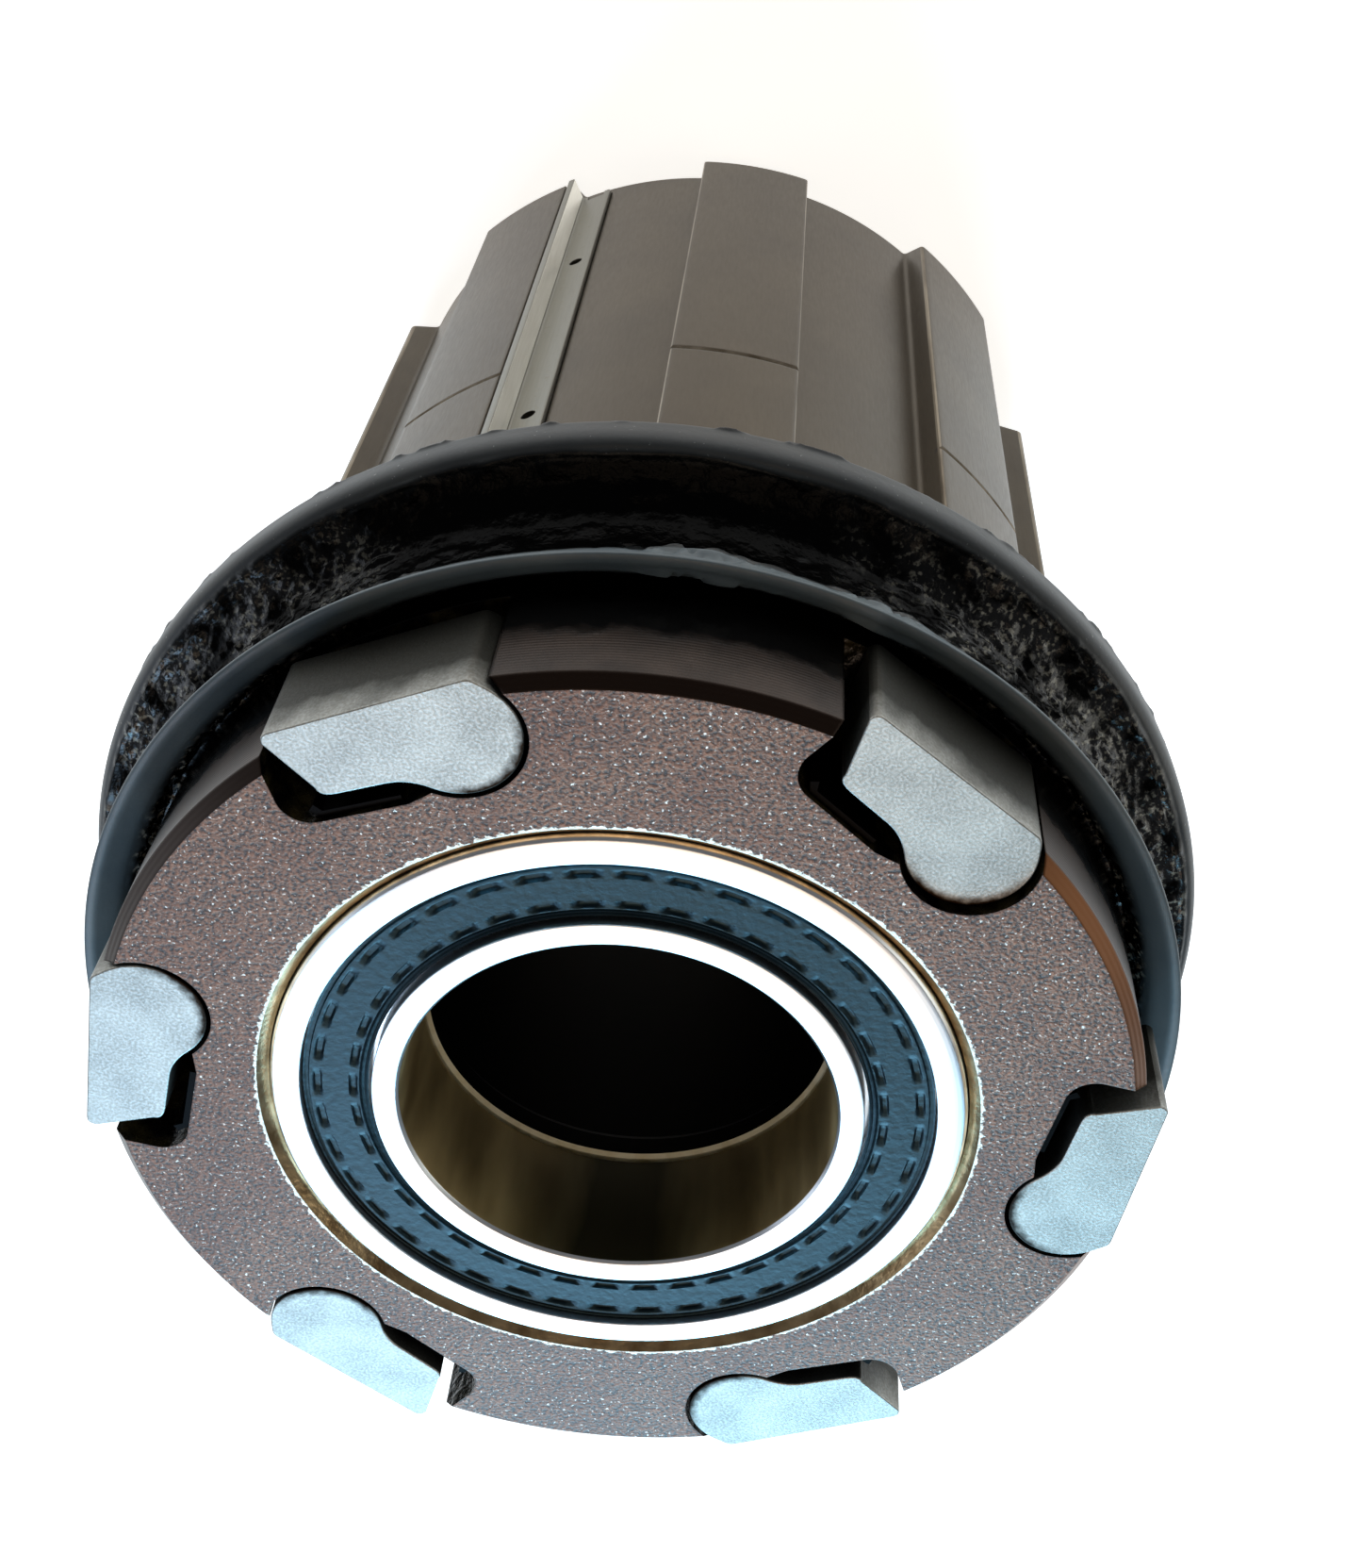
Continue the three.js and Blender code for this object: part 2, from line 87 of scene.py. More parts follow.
FIRST_PAWL_DEG = -74.6
PIVOT_RADIUS = 16.23
HEEL_RADIUS = 2.1
PAWL_REACH = 5.45
POCKET_DEPTH = 5.0
GUARD_DEG = FIRST_SPLINE_DEG + 360 / SPLINE_COUNT - SPLINE_HALF_DEG
GUARD_THICKNESS = 0.35
GUARD_HOLES = (10.3, 26.7)
GUARD_HOLE_OFFSET = -0.72
# A spot on the near side where the seal's pale specks, partly painted glints, are left out as painted shade.
NO_GLINT_SPOT = (0.0, -0.019, 0.042)  # in metres, as a shader measures
WIPED_DEG = 265.0
SMEARS = ((261.5, 6.5, 1.0), (243.5, 4.5, 0.7))  # each at an angle, this wide, this thick
BEARING_WIDTH = 5.0
RACE_RADIUS = 1.28
RACE_OFFSET = 0.75
SEAL_SEAT = 0.9
POCKET_ROWS = ((10.2, 10.5), (8.98, 9.26))
POCKET_WALL = 0.04
RING_OUTSIDE = 11.95
OUTER_LAND = 10.9
INNER_LAND = 8.45
BEARING_BORE = 7.5


# ---- shapes ---------------------------------------------------------------------------------
def polar(radius, degrees):
    angle = math.radians(degrees)
    return (radius * math.cos(angle), radius * math.sin(angle))


def arc(radius, start, end, steps, centre=(0.0, 0.0)):
    """Points of an arc, its two ends among them."""
    made = []
    for i in range(steps + 1):
        x, y = polar(radius, start + (end - start) * i / steps)
        made.append((centre[0] + x, centre[1] + y))
    return made


def bend(start, corner, end, steps=6):
    """Points of the curve that leaves start towards corner and arrives at end."""
    made = []
    for i in range(steps + 1):
        t = i / steps
        weights = ((1 - t) ** 2, 2 * t * (1 - t), t**2)
        made.append(tuple(sum(w * p[k] for w, p in zip(weights, (start, corner, end))) for k in (0, 1)))
    return made


def eased(outline, steps=3):
    """An outline whose points are (x, y) or (x, y, ease): an eased corner is rounded over that length."""
    made = []
    count = len(outline)
    for i, point in enumerate(outline):
        here = Vector(point[:2])
        if len(point) < 3:
            made.append(tuple(here))
            continue
        before, after = Vector(outline[i - 1][:2]) - here, Vector(outline[(i + 1) % count][:2]) - here
        start = here + before.normalized() * min(point[2], before.length * 0.45)
        end = here + after.normalized() * min(point[2], after.length * 0.45)
        made += bend(start, here, end, steps)
    return made


def raise_piece(name, vertices, faces, smooth_deg=32):
    """A mesh object from points in millimetres, shaded smooth except over edges sharper than smooth_deg."""
    mesh = bpy.data.meshes.new(name)
    mesh.from_pydata([Vector(v) * MM for v in vertices], [], faces)
    piece = bpy.data.objects.new(name, mesh)
    bpy.context.scene.collection.objects.link(piece)
    tidy_mesh(piece, smooth_deg)
    return piece


def tidy_mesh(piece, smooth_deg):
    made = bmesh.new()
    made.from_mesh(piece.data)
    bmesh.ops.recalc_face_normals(made, faces=made.faces)
    made.to_mesh(piece.data)
    made.free()
    piece.data.shade_smooth()
    piece.data.set_sharp_from_angle(angle=math.radians(smooth_deg))


def turned(name, profile, segments, smooth_deg=32):
    """A closed (radius, height) section turned round Z."""
    count = len(profile)
    vertices = []
    for i in range(segments):
        for radius, height in profile:
            vertices.append((*polar(radius, 360 * i / segments), height))
    faces = []
    for i in range(segments):
        here, there = i * count, (i + 1) % segments * count
        for k in range(count):
            after = (k + 1) % count
            faces.append((here + k, there + k, there + after, here + after))
    return raise_piece(name, vertices, faces, smooth_deg)


def stacked(name, rings, segments):
    """A solid plug of rings, each (height, radius). A radius may be a function of the angle in degrees."""
    vertices = []
    for height, radius in rings:
        for i in range(segments):
            angle = 360 * i / segments
            vertices.append((*polar(radius(angle) if callable(radius) else radius, angle), height))
    faces = [tuple(range(segments))]
    for k in range(len(rings) - 1):
        lower, upper = k * segments, (k + 1) * segments
        for i in range(segments):
            after = (i + 1) % segments
            faces.append((lower + i, lower + after, upper + after, upper + i))
    faces.append(tuple((len(rings) - 1) * segments + i for i in range(segments)))
    return raise_piece(name, vertices, faces)


def prism(name, outline, bottom, top, turn=0.0, out=0.0, smooth_deg=32):
    """An outline raised along Z, moved out along X, then turned round Z."""
    angle = math.radians(turn)
    placed = [
        ((x + out) * math.cos(angle) - y * math.sin(angle), (x + out) * math.sin(angle) + y * math.cos(angle))
        for x, y in outline
    ]
    count = len(placed)
    vertices = [(*p, bottom) for p in placed] + [(*p, top) for p in placed]
    faces = [tuple(range(count)), tuple(range(count, 2 * count))]
    faces += [(i, (i + 1) % count, (i + 1) % count + count, i + count) for i in range(count)]
    return raise_piece(name, vertices, faces, smooth_deg)


def worked(piece, tool, operation="DIFFERENCE", smooth_deg=32):
    """Cuts piece with tool, or joins them, and removes the tool."""
    cut = piece.modifiers.new("work", "BOOLEAN")
    cut.operation = operation
    cut.solver = "MANIFOLD"
    cut.object = tool
    applied(piece)
    bpy.data.objects.remove(tool)
    piece.data.shade_smooth()
    piece.data.set_sharp_from_angle(angle=math.radians(smooth_deg))
    return piece


def applied(piece):
    """Makes the result of the piece's modifiers its own mesh."""
    bpy.context.view_layer.update()
    graph = bpy.context.evaluated_depsgraph_get()
    mesh = bpy.data.meshes.new_from_object(piece.evaluated_get(graph))
    piece.modifiers.clear()
    piece.data = mesh
    return piece


def edges_broken(piece, width, steps=2):
    """Rounds the sharp edges by width, in millimetres."""
    bevel = piece.modifiers.new("edges", "BEVEL")
    bevel.width = width * MM
    bevel.segments = steps
    bevel.limit_method = "ANGLE"
    bevel.angle_limit = math.radians(35)
    applied(piece)
    piece.data.shade_smooth()
    piece.data.set_sharp_from_angle(angle=math.radians(18))
    return piece


# ---- nodes ----------------------------------------------------------------------------------
def linear(shade):
    """An sRGB hex colour as the linear colour that a shader takes."""
    made = []
    for k in (1, 3, 5):
        value = int(shade[k : k + 2], 16) / 255
        made.append(value / 12.92 if value <= 0.04045 else ((value + 0.055) / 1.055) ** 2.4)
    return (*made, 1.0)


def add(tree, kind, inputs=None, out=0, **settings):
    """Adds a node with its settings. An input is a value, a hex colour, or another node's output to link."""
    made = tree.nodes.new(kind)
    for key, value in settings.items():
        setattr(made, key, value)
    for key, value in (inputs or {}).items():
        if isinstance(value, bpy.types.NodeSocket):
            tree.links.new(value, made.inputs[key])
        else:
            made.inputs[key].default_value = linear(value) if isinstance(value, str) else value
    return made.outputs[out]


def finish(name, shader_inputs):
    """A new material: its node tree, its shader, and the place on the piece in metres."""
    material = bpy.data.materials.new(name)
    material.use_nodes = True
    tree = material.node_tree
    shader = next(n for n in tree.nodes if n.type == "BSDF_PRINCIPLED")
    for key, value in shader_inputs.items():
        shader.inputs[key].default_value = value
    place = add(tree, "ShaderNodeTexCoord", out="Object")
    return material, tree, shader, place


def per_mm(size):
    """The scale at which a pattern repeats about every size millimetres."""
    return 1 / (size * MM)


def speckle(tree, place, size, low, high, detail=2.0):
    """A patchy mask from 0 to 1 of spots about size millimetres wide: more of them as low and high fall."""
    patch = add(tree, "ShaderNodeTexNoise", {"Vector": place, "Scale": per_mm(size), "Detail": detail})
    return add(tree, "ShaderNodeMapRange", {"Value": patch, "From Min": low, "From Max": high})


def relief(tree, shader, height, depth, edge=0.0):
    """Bumps depth millimetres high, over edges that are rounded by edge millimetres."""
    inputs = {"Height": height, "Distance": depth * MM}
    if edge:
        inputs["Normal"] = add(tree, "ShaderNodeBevel", {"Radius": edge * MM}, samples=4)
    normal = add(tree, "ShaderNodeBump", inputs)
    tree.links.new(normal, shader.inputs["Normal"])


def from_axis(tree, place):
    """Distance from the hub's axis, in metres."""
    flat = add(tree, "ShaderNodeVectorMath", {0: place, 1: (1, 1, 0)}, operation="MULTIPLY")
    return add(tree, "ShaderNodeVectorMath", {0: flat}, out="Value", operation="LENGTH")


def height_of(tree, place):
    """Height above the outboard end, in metres."""
    return add(tree, "ShaderNodeSeparateXYZ", {0: place}, out=2)


def ramp(tree, value, start, end):
    """0 below start and 1 above end, both in millimetres, where value is a length in metres."""
    return add(tree, "ShaderNodeMapRange", {"Value": value, "From Min": start * MM, "From Max": end * MM})


def roughened(tree, length, place, size, spread):
    """The length moved in and out by up to spread millimetres, in waves about size millimetres long."""
    wave = add(tree, "ShaderNodeTexNoise", {"Vector": place, "Scale": per_mm(size), "Detail": 3.0})
    shift = add(tree, "ShaderNodeMapRange", {"Value": wave, "To Min": -spread * MM, "To Max": spread * MM})
    return add(tree, "ShaderNodeMath", {0: length, 1: shift}, operation="ADD")


# ---- finishes -------------------------------------------------------------------------------
def blasted_anodised():
    """Hard-anodised 7075 aluminium, bead-blasted before the bath.

    The dyed oxide is red-brown and half matt under its own clear, colourless gloss, and each bead dent
    catches a glint. A real dent is about 0.1 mm wide: they are drawn at 0.13 mm, so that they show.
    Some dents are painted bright, partly as metal knocked bare by handling and partly as painted glints.
    The lip of the bearing seat was turned after the bath, so it has a bright, ragged burr of bare metal.
    """
    material, tree, shader, place = finish(
        "hard_anodised_bead_blasted",
        {"Metallic": 0.66, "Coat Weight": 0.3, "Coat Roughness": 0.5, "Coat IOR": 1.6},
    )
    dents = add(tree, "ShaderNodeTexNoise", {"Vector": place, "Scale": per_mm(0.13), "Detail": 3.0})
    clouds = speckle(tree, place, 4.0, 0.35, 0.65)
    oxide = add(tree, "ShaderNodeMix", {0: clouds, 6: "#8b5b43", 7: "#9a6b51"}, **COLOUR)
    grain = add(tree, "ShaderNodeMapRange", {"Value": dents, "From Min": 0.35, "From Max": 0.68})
    oxide = add(tree, "ShaderNodeMix", {0: grain, 6: "#33251f", 7: oxide}, **COLOUR)
    # Bright specks: partly dents knocked back to bare metal, partly painted glints.
    bright = speckle(tree, place, 0.15, 0.63, 0.72)
    oxide = add(tree, "ShaderNodeMix", {0: bright, 6: oxide, 7: "#e6d6c8"}, **COLOUR)
    radius = roughened(tree, from_axis(tree, place), place, 0.25, 0.22)
    burr = add(
        tree,
        "ShaderNodeMath",
        {0: 1.0, 1: ramp(tree, radius, SEAT_RADIUS + 0.42, SEAT_RADIUS + 0.46)},
        operation="SUBTRACT",
    )
    shade = add(tree, "ShaderNodeMix", {0: burr, 6: oxide, 7: "#f2ecdd"}, **COLOUR)
    tree.links.new(shade, shader.inputs["Base Color"])
    tree.links.new(
        add(tree, "ShaderNodeMapRange", {"Value": grain, "To Min": 0.42, "To Max": 0.58}),
        shader.inputs["Roughness"],
    )
    relief(tree, shader, dents, 0.07, edge=0.1)
    return material


def turned_anodised():
    """Hard-anodised 7075 aluminium, turned. The collar and its chamfer are satin, with tool marks
    0.15 mm apart that run round it, and black grease has crept up the collar from the seal."""
    material, tree, shader, place = finish("hard_anodised_turned", {"Metallic": 0.7})
    height = height_of(tree, place)
    turns = per_mm(0.15) * math.tau / WAVE_RATE
    marks = add(
        tree,
        "ShaderNodeTexWave",
        {"Vector": place, "Scale": turns, "Distortion": 0.4},
        bands_direction="Z",
    )
    smears = speckle(tree, place, 1.6, 0.35, 0.7, detail=5.0)
    oxide = add(tree, "ShaderNodeMix", {0: smears, 6: "#3e342e", 7: "#2c2521"}, **COLOUR)
    # The chamfer is painted as a dark reflection: near black from the +X side to x = -8 mm, dark brown beyond
    # x = -14 mm.
    chamfer = ramp(tree, height, BODY_LENGTH - COLLAR_CHAMFER - 0.03, BODY_LENGTH - COLLAR_CHAMFER + 0.03)
    across = add(tree, "ShaderNodeSeparateXYZ", {0: place}, out=0)
    painted_reflection_fade = ramp(tree, roughened(tree, across, place, 1.5, 2.0), -8.0, -14.0)
    oxide = add(
        tree,
        "ShaderNodeMix",
        {
            0: chamfer,
            6: oxide,
            7: add(tree, "ShaderNodeMix", {0: painted_reflection_fade, 6: "#24160c", 7: "#633c1c"}, **COLOUR),
        },
        **COLOUR,
    )
    edge = roughened(tree, height, place, 1.2, 0.75)
    grease = ramp(tree, edge, 47.1, 46.5)
    shade = add(tree, "ShaderNodeMix", {0: grease, 6: oxide, 7: "#070606"}, **COLOUR)
    tree.links.new(shade, shader.inputs["Base Color"])
    tree.links.new(
        add(tree, "ShaderNodeMapRange", {"Value": grease, "To Min": 0.36, "To Max": 0.16}),
        shader.inputs["Roughness"],
    )
    tree.links.new(
        add(tree, "ShaderNodeMapRange", {"Value": grease, "To Min": 0.7, "To Max": 0.0}),
        shader.inputs["Metallic"],
    )
    lumps = add(tree, "ShaderNodeTexNoise", {"Vector": place, "Scale": per_mm(0.5), "Detail": 4.0})
    height_mix = add(
        tree,
        "ShaderNodeMix",
        {
            0: grease,
            2: add(tree, "ShaderNodeMapRange", {"Value": marks, "To Min": 0.0, "To Max": 0.15}),
            3: lumps,
        },
        data_type="FLOAT",
    )
    relief(tree, shader, height_mix, 0.02, edge=0.12)
    return material


def milled_anodised():
    """Hard-anodised 7075 aluminium, hobbed and turned. The splines are an even satin brown-grey with a
    cloudy bath finish and faint hob marks along them, and dark in the witness line."""
    material, tree, shader, place = finish("hard_anodised_hobbed", {"Metallic": 0.55})
    height = height_of(tree, place)
    radius = from_axis(tree, place)
    clouds = speckle(tree, place, 5.0, 0.3, 0.7, detail=3.0)
    drawn = add(tree, "ShaderNodeVectorMath", {0: place, 1: (1, 1, 0.15)}, operation="MULTIPLY")
    fine = add(tree, "ShaderNodeTexNoise", {"Vector": drawn, "Scale": per_mm(0.12), "Detail": 2.0})
    oxide = add(tree, "ShaderNodeMix", {0: clouds, 6: "#403523", 7: "#4d422f"}, **COLOUR)
    oxide = add(
        tree,
        "ShaderNodeMix",
        {
            0: add(tree, "ShaderNodeMapRange", {"Value": fine, "To Min": 0.0, "To Max": 0.25}),
            6: oxide,
            7: "#453d35",
        },
        **COLOUR,
    )
    off = add(tree, "ShaderNodeMath", {0: height, 1: WITNESS_HEIGHT * MM}, operation="SUBTRACT")
    off = add(tree, "ShaderNodeMath", {0: off}, operation="ABSOLUTE")
    line = add(
        tree,
        "ShaderNodeMath",
        {0: ramp(tree, off, 0.2, 0.1), 1: ramp(tree, radius, 16.9, 17.1)},
        operation="MULTIPLY",
    )
    shade = add(tree, "ShaderNodeMix", {0: line, 6: oxide, 7: "#2a211c"}, **COLOUR)
    tree.links.new(shade, shader.inputs["Base Color"])
    tree.links.new(
        add(tree, "ShaderNodeMapRange", {"Value": fine, "To Min": 0.32, "To Max": 0.44}),
        shader.inputs["Roughness"],
    )
    relief(tree, shader, fine, 0.006, edge=0.2)
    return material


def corner_painted_highlight():
    """Hard-anodised 7075 aluminium on the spline corners, painted paler in streaks as a painted edge
    highlight, so the corner draws a fine pale line."""
    material, tree, shader, place = finish("hard_anodised_painted_edge_highlight", {"Metallic": 0.7, "Roughness": 0.36})
    drawn = add(tree, "ShaderNodeVectorMath", {0: place, 1: (1, 1, 0.2)}, operation="MULTIPLY")
    streaks = speckle(tree, drawn, 0.9, 0.35, 0.65, detail=4.0)
    # Painted edge highlight: a paler brown-grey in streaks along the corners.
    tree.links.new(
        add(tree, "ShaderNodeMix", {0: streaks, 6: "#5d5140", 7: "#8f8473"}, **COLOUR),
        shader.inputs["Base Color"],
    )
    return material


def seat_bare():
    """7075 aluminium turned bare after anodising, and tinted gold by old oil. The thin chamfer round
    each bearing seat shines between the dull face and the ring."""
    material, tree, shader, place = finish("aluminium_turned_bare", {"Metallic": 1.0, "Roughness": 0.28})
    stains = speckle(tree, place, 1.1, 0.35, 0.65, detail=4.0)
    shade = add(tree, "ShaderNodeMix", {0: stains, 6: "#c9ad82", 7: "#8d7350"}, **COLOUR)
    tree.links.new(shade, shader.inputs["Base Color"])
    marks = add(tree, "ShaderNodeTexNoise", {"Vector": place, "Scale": per_mm(0.2), "Detail": 4.0})
    relief(tree, shader, marks, 0.02)
    return material


def greased_pocket():
    """Lithium grease, blackened by wear, over machined aluminium: wet, lumpy and almost black, with
    brown showing where it is thin."""
    material, tree, shader, place = finish("grease_in_pockets", {"Metallic": 0.0, "Specular IOR Level": 0.5})
    thin = speckle(tree, place, 0.9, 0.45, 0.7, detail=5.0)
    shade = add(tree, "ShaderNodeMix", {0: thin, 6: "#040303", 7: "#38301a"}, **COLOUR)
    tree.links.new(shade, shader.inputs["Base Color"])
    lumps = add(tree, "ShaderNodeTexNoise", {"Vector": place, "Scale": per_mm(0.6), "Detail": 5.0})
    tree.links.new(
        add(tree, "ShaderNodeMapRange", {"Value": lumps, "To Min": 0.1, "To Max": 0.4}),
        shader.inputs["Roughness"],
    )
    relief(tree, shader, lumps, 0.12)
    return material


def lockring_thread():
    """Hard-anodised 7075 aluminium, tapped. The thread flanks are smooth and dark, with paler worn crests."""
    material, tree, shader, place = finish("hard_anodised_tapped", {"Metallic": 0.7, "Roughness": 0.38})
    radius = from_axis(tree, place)
    crest = ramp(tree, radius, MOUTH_RADIUS + 0.12, MOUTH_RADIUS + 0.02)
    shade = add(tree, "ShaderNodeMix", {0: crest, 6: "#4c423d", 7: "#857870"}, **COLOUR)
    tree.links.new(shade, shader.inputs["Base Color"])
    marks = add(tree, "ShaderNodeTexNoise", {"Vector": place, "Scale": per_mm(0.25), "Detail": 3.0})
    relief(tree, shader, marks, 0.01)
    return material


def moulded_seal():
    """Nitrile rubber, moulded: a blue-black satin skin with a soft bloom, and a fine mould texture.
    The top of the front lip, above about 44.1 mm, is painted a paler blue-grey as painted light.

    The mesh carries how thick the grease lies at each point, as the colour attribute "grease": there it
    turns wet and deep black, with pale specks in clumps that are partly grit and partly painted glints. The
    specks are left out round a spot on the near side, as painted shade, and thin out towards the far side.
    The grease lumps are smaller on one side that was wiped.
    """
    material, tree, shader, place = finish("nitrile_rubber_moulded", {"Metallic": 0.0})
    grease = add(tree, "ShaderNodeAttribute", out="Fac", attribute_name="grease")
    bloom = speckle(tree, place, 2.2, 0.3, 0.7, detail=4.0)
    rubber = add(tree, "ShaderNodeMix", {0: bloom, 6: "#24292c", 7: "#2f3334"}, **COLOUR)
    dust = speckle(tree, place, 0.16, 0.7, 0.76)
    rubber = add(
        tree,
        "ShaderNodeMix",
        {
            0: add(tree, "ShaderNodeMapRange", {"Value": dust, "To Min": 0.0, "To Max": 0.5}),
            6: rubber,
            7: "#8d8f8c",
        },
        **COLOUR,
    )
    # Painted light: the front lip's top turns a paler blue-grey.
    lip = ramp(tree, height_of(tree, place), 44.1, 44.5)
    rubber = add(
        tree,
        "ShaderNodeMix",
        {
            0: lip,
            6: rubber,
            7: add(tree, "ShaderNodeMix", {0: bloom, 6: "#4f5c63", 7: "#5f6a6e"}, **COLOUR),
        },
        **COLOUR,
    )
    # Pale specks in clumps: partly grit, partly painted glints. They are left out near a spot on the near
    # side, as painted shade, and thin out far from it.
    grit = speckle(tree, place, 0.22, 0.54, 0.64, detail=5.0)
    gathered = speckle(tree, place, 1.5, 0.42, 0.56, detail=4.0)
    away = add(tree, "ShaderNodeVectorMath", {0: place, 1: NO_GLINT_SPOT}, out="Value", operation="DISTANCE")
    gathered = add(
        tree, "ShaderNodeMath", {0: gathered, 1: ramp(tree, away, 7.0, 16.0)}, operation="MULTIPLY"
    )
    thinned = add(
        tree, "ShaderNodeMapRange", {"Value": ramp(tree, away, 36.0, 24.0), "To Min": 0.3, "To Max": 1.0}
    )
    gathered = add(tree, "ShaderNodeMath", {0: gathered, 1: thinned}, operation="MULTIPLY")
    grit = add(tree, "ShaderNodeMath", {0: grit, 1: gathered}, operation="MULTIPLY")
    wet = add(tree, "ShaderNodeMix", {0: grit, 6: "#010101", 7: "#98968a"}, **COLOUR)
    shade = add(tree, "ShaderNodeMix", {0: grease, 6: rubber, 7: wet}, **COLOUR)
    tree.links.new(shade, shader.inputs["Base Color"])
    skin = add(tree, "ShaderNodeTexNoise", {"Vector": place, "Scale": per_mm(0.22), "Detail": 4.0})
    shine = add(
        tree,
        "ShaderNodeMix",
        {
            0: grease,
            2: 0.5,
            3: add(tree, "ShaderNodeMapRange", {"Value": gathered, "To Min": 0.05, "To Max": 0.6}),
        },
        data_type="FLOAT",
    )
    tree.links.new(shine, shader.inputs["Specular IOR Level"])
    damp = add(tree, "ShaderNodeMapRange", {"Value": grease, "To Min": 0.46, "To Max": 0.22})
    tree.links.new(damp, shader.inputs["Roughness"])
    lumps = add(tree, "ShaderNodeTexNoise", {"Vector": place, "Scale": per_mm(0.45), "Detail": 5.0})
    height = add(
        tree,
        "ShaderNodeMix",
        {
            0: grease,
            2: add(tree, "ShaderNodeMapRange", {"Value": skin, "To Min": 0.0, "To Max": 0.12}),
            3: lumps,
        },
        data_type="FLOAT",
    )
    relief(tree, shader, height, 0.08)
    return material


def ground_pawl():
    """Hardened tool steel, ground and vapour-blasted: pale grey and nearly matt, with fine short
    scratches, painted glints, darker smudges, brown oil held at the heel, and sides darker towards the
    bottom."""
    material, tree, shader, place = finish("tool_steel_ground", {"Metallic": 1.0})
    smudges = speckle(tree, place, 2.4, 0.35, 0.7, detail=5.0)
    grit = add(tree, "ShaderNodeTexNoise", {"Vector": place, "Scale": per_mm(0.1), "Detail": 4.0})
    steel = add(tree, "ShaderNodeMix", {0: smudges, 6: "#9e9d96", 7: "#807f79"}, **COLOUR)
    # Painted glints: the grit's brightest specks are painted pale.
    glint = add(tree, "ShaderNodeMapRange", {"Value": grit, "From Min": 0.4, "From Max": 0.7, "To Max": 0.3})
    steel = add(tree, "ShaderNodeMix", {0: glint, 6: steel, 7: "#d4d8d7"}, **COLOUR)
    spread = roughened(tree, from_axis(tree, place), place, 0.45, 0.2)
    along = add(tree, "ShaderNodeSeparateXYZ", {0: place}, out=1)
    inward = add(tree, "ShaderNodeSeparateXYZ", {0: place}, out=0)
    under = add(
        tree,
        "ShaderNodeMath",
        {0: ramp(tree, inward, 0.6, -0.6), 1: ramp(tree, along, 1.1, 0.3)},
        operation="MULTIPLY",
    )
    oil = add(tree, "ShaderNodeMath", {0: ramp(tree, spread, 1.72, 2.02), 1: under}, operation="MULTIPLY")
    # The sides are darker towards the bottom: darkening from just below the top face to near black about 1.4
    # mm down.
    deep = roughened(tree, height_of(tree, place), place, 1.4, 1.0)
    film = add(tree, "ShaderNodeMath", {0: ramp(tree, deep, 0.5, -1.4), 1: 0.95}, operation="MULTIPLY")
    below = ramp(tree, height_of(tree, place), -0.04, -0.08)
    film = add(tree, "ShaderNodeMath", {0: film, 1: below}, operation="MULTIPLY")
    steel = add(tree, "ShaderNodeMix", {0: film, 6: steel, 7: "#262520"}, **COLOUR)
    shade = add(tree, "ShaderNodeMix", {0: oil, 6: steel, 7: "#1d1208"}, **COLOUR)
    tree.links.new(shade, shader.inputs["Base Color"])
    tree.links.new(
        add(tree, "ShaderNodeMapRange", {"Value": grit, "To Min": 0.55, "To Max": 0.4}),
        shader.inputs["Roughness"],
    )
    relief(tree, shader, grit, 0.01)
    return material


def ground_ring():
    """Bearing steel, ground and polished on its faces: bright, with hair-fine rings left by the wheel."""
    material, tree, shader, place = finish("bearing_steel_ground", {"Metallic": 1.0})
    radius = from_axis(tree, place)
    turns = add(tree, "ShaderNodeCombineXYZ", {0: radius, 1: height_of(tree, place)})
    rings = add(tree, "ShaderNodeTexNoise", {"Vector": turns, "Scale": per_mm(0.08), "Detail": 3.0})
    shade = add(tree, "ShaderNodeMix", {0: rings, 6: "#d9dee2", 7: "#f1f4f5"}, **COLOUR)
    tree.links.new(shade, shader.inputs["Base Color"])
    tree.links.new(
        add(tree, "ShaderNodeMapRange", {"Value": rings, "To Min": 0.24, "To Max": 0.36}),
        shader.inputs["Roughness"],
    )
    relief(tree, shader, rings, 0.003, edge=0.06)
    return material


def stained_and_shaded_bore():
    """Bearing steel, ground bore, stained brown by old oil: half matt, with soft vertical wipes, and painted
    shade that darkens it down the middle, where x is near 0."""
    material, tree, shader, place = finish("bearing_steel_oil_stained_painted_shade", {"Metallic": 1.0})
    stretched = add(tree, "ShaderNodeVectorMath", {0: place, 1: (1, 1, 0.25)}, operation="MULTIPLY")
    wipes = speckle(tree, stretched, 1.8, 0.3, 0.7, detail=5.0)
    # Painted shade: darker down the middle of the bore, where |x| is under 1.5 mm, fading out by 5.5 mm.
    across = add(tree, "ShaderNodeSeparateXYZ", {0: place}, out=0)
    across = add(
        tree, "ShaderNodeMath", {0: roughened(tree, across, stretched, 2.5, 1.5)}, operation="ABSOLUTE"
    )
    shade = add(tree, "ShaderNodeMix", {0: wipes, 6: "#c9b07f", 7: "#eed9a6"}, **COLOUR)
    shade = add(tree, "ShaderNodeMix", {0: ramp(tree, across, 1.5, 5.5), 6: "#4a4636", 7: shade}, **COLOUR)
    tree.links.new(shade, shader.inputs["Base Color"])
    tree.links.new(
        add(tree, "ShaderNodeMapRange", {"Value": wipes, "To Min": 0.42, "To Max": 0.6}),
        shader.inputs["Roughness"],
    )
    return material


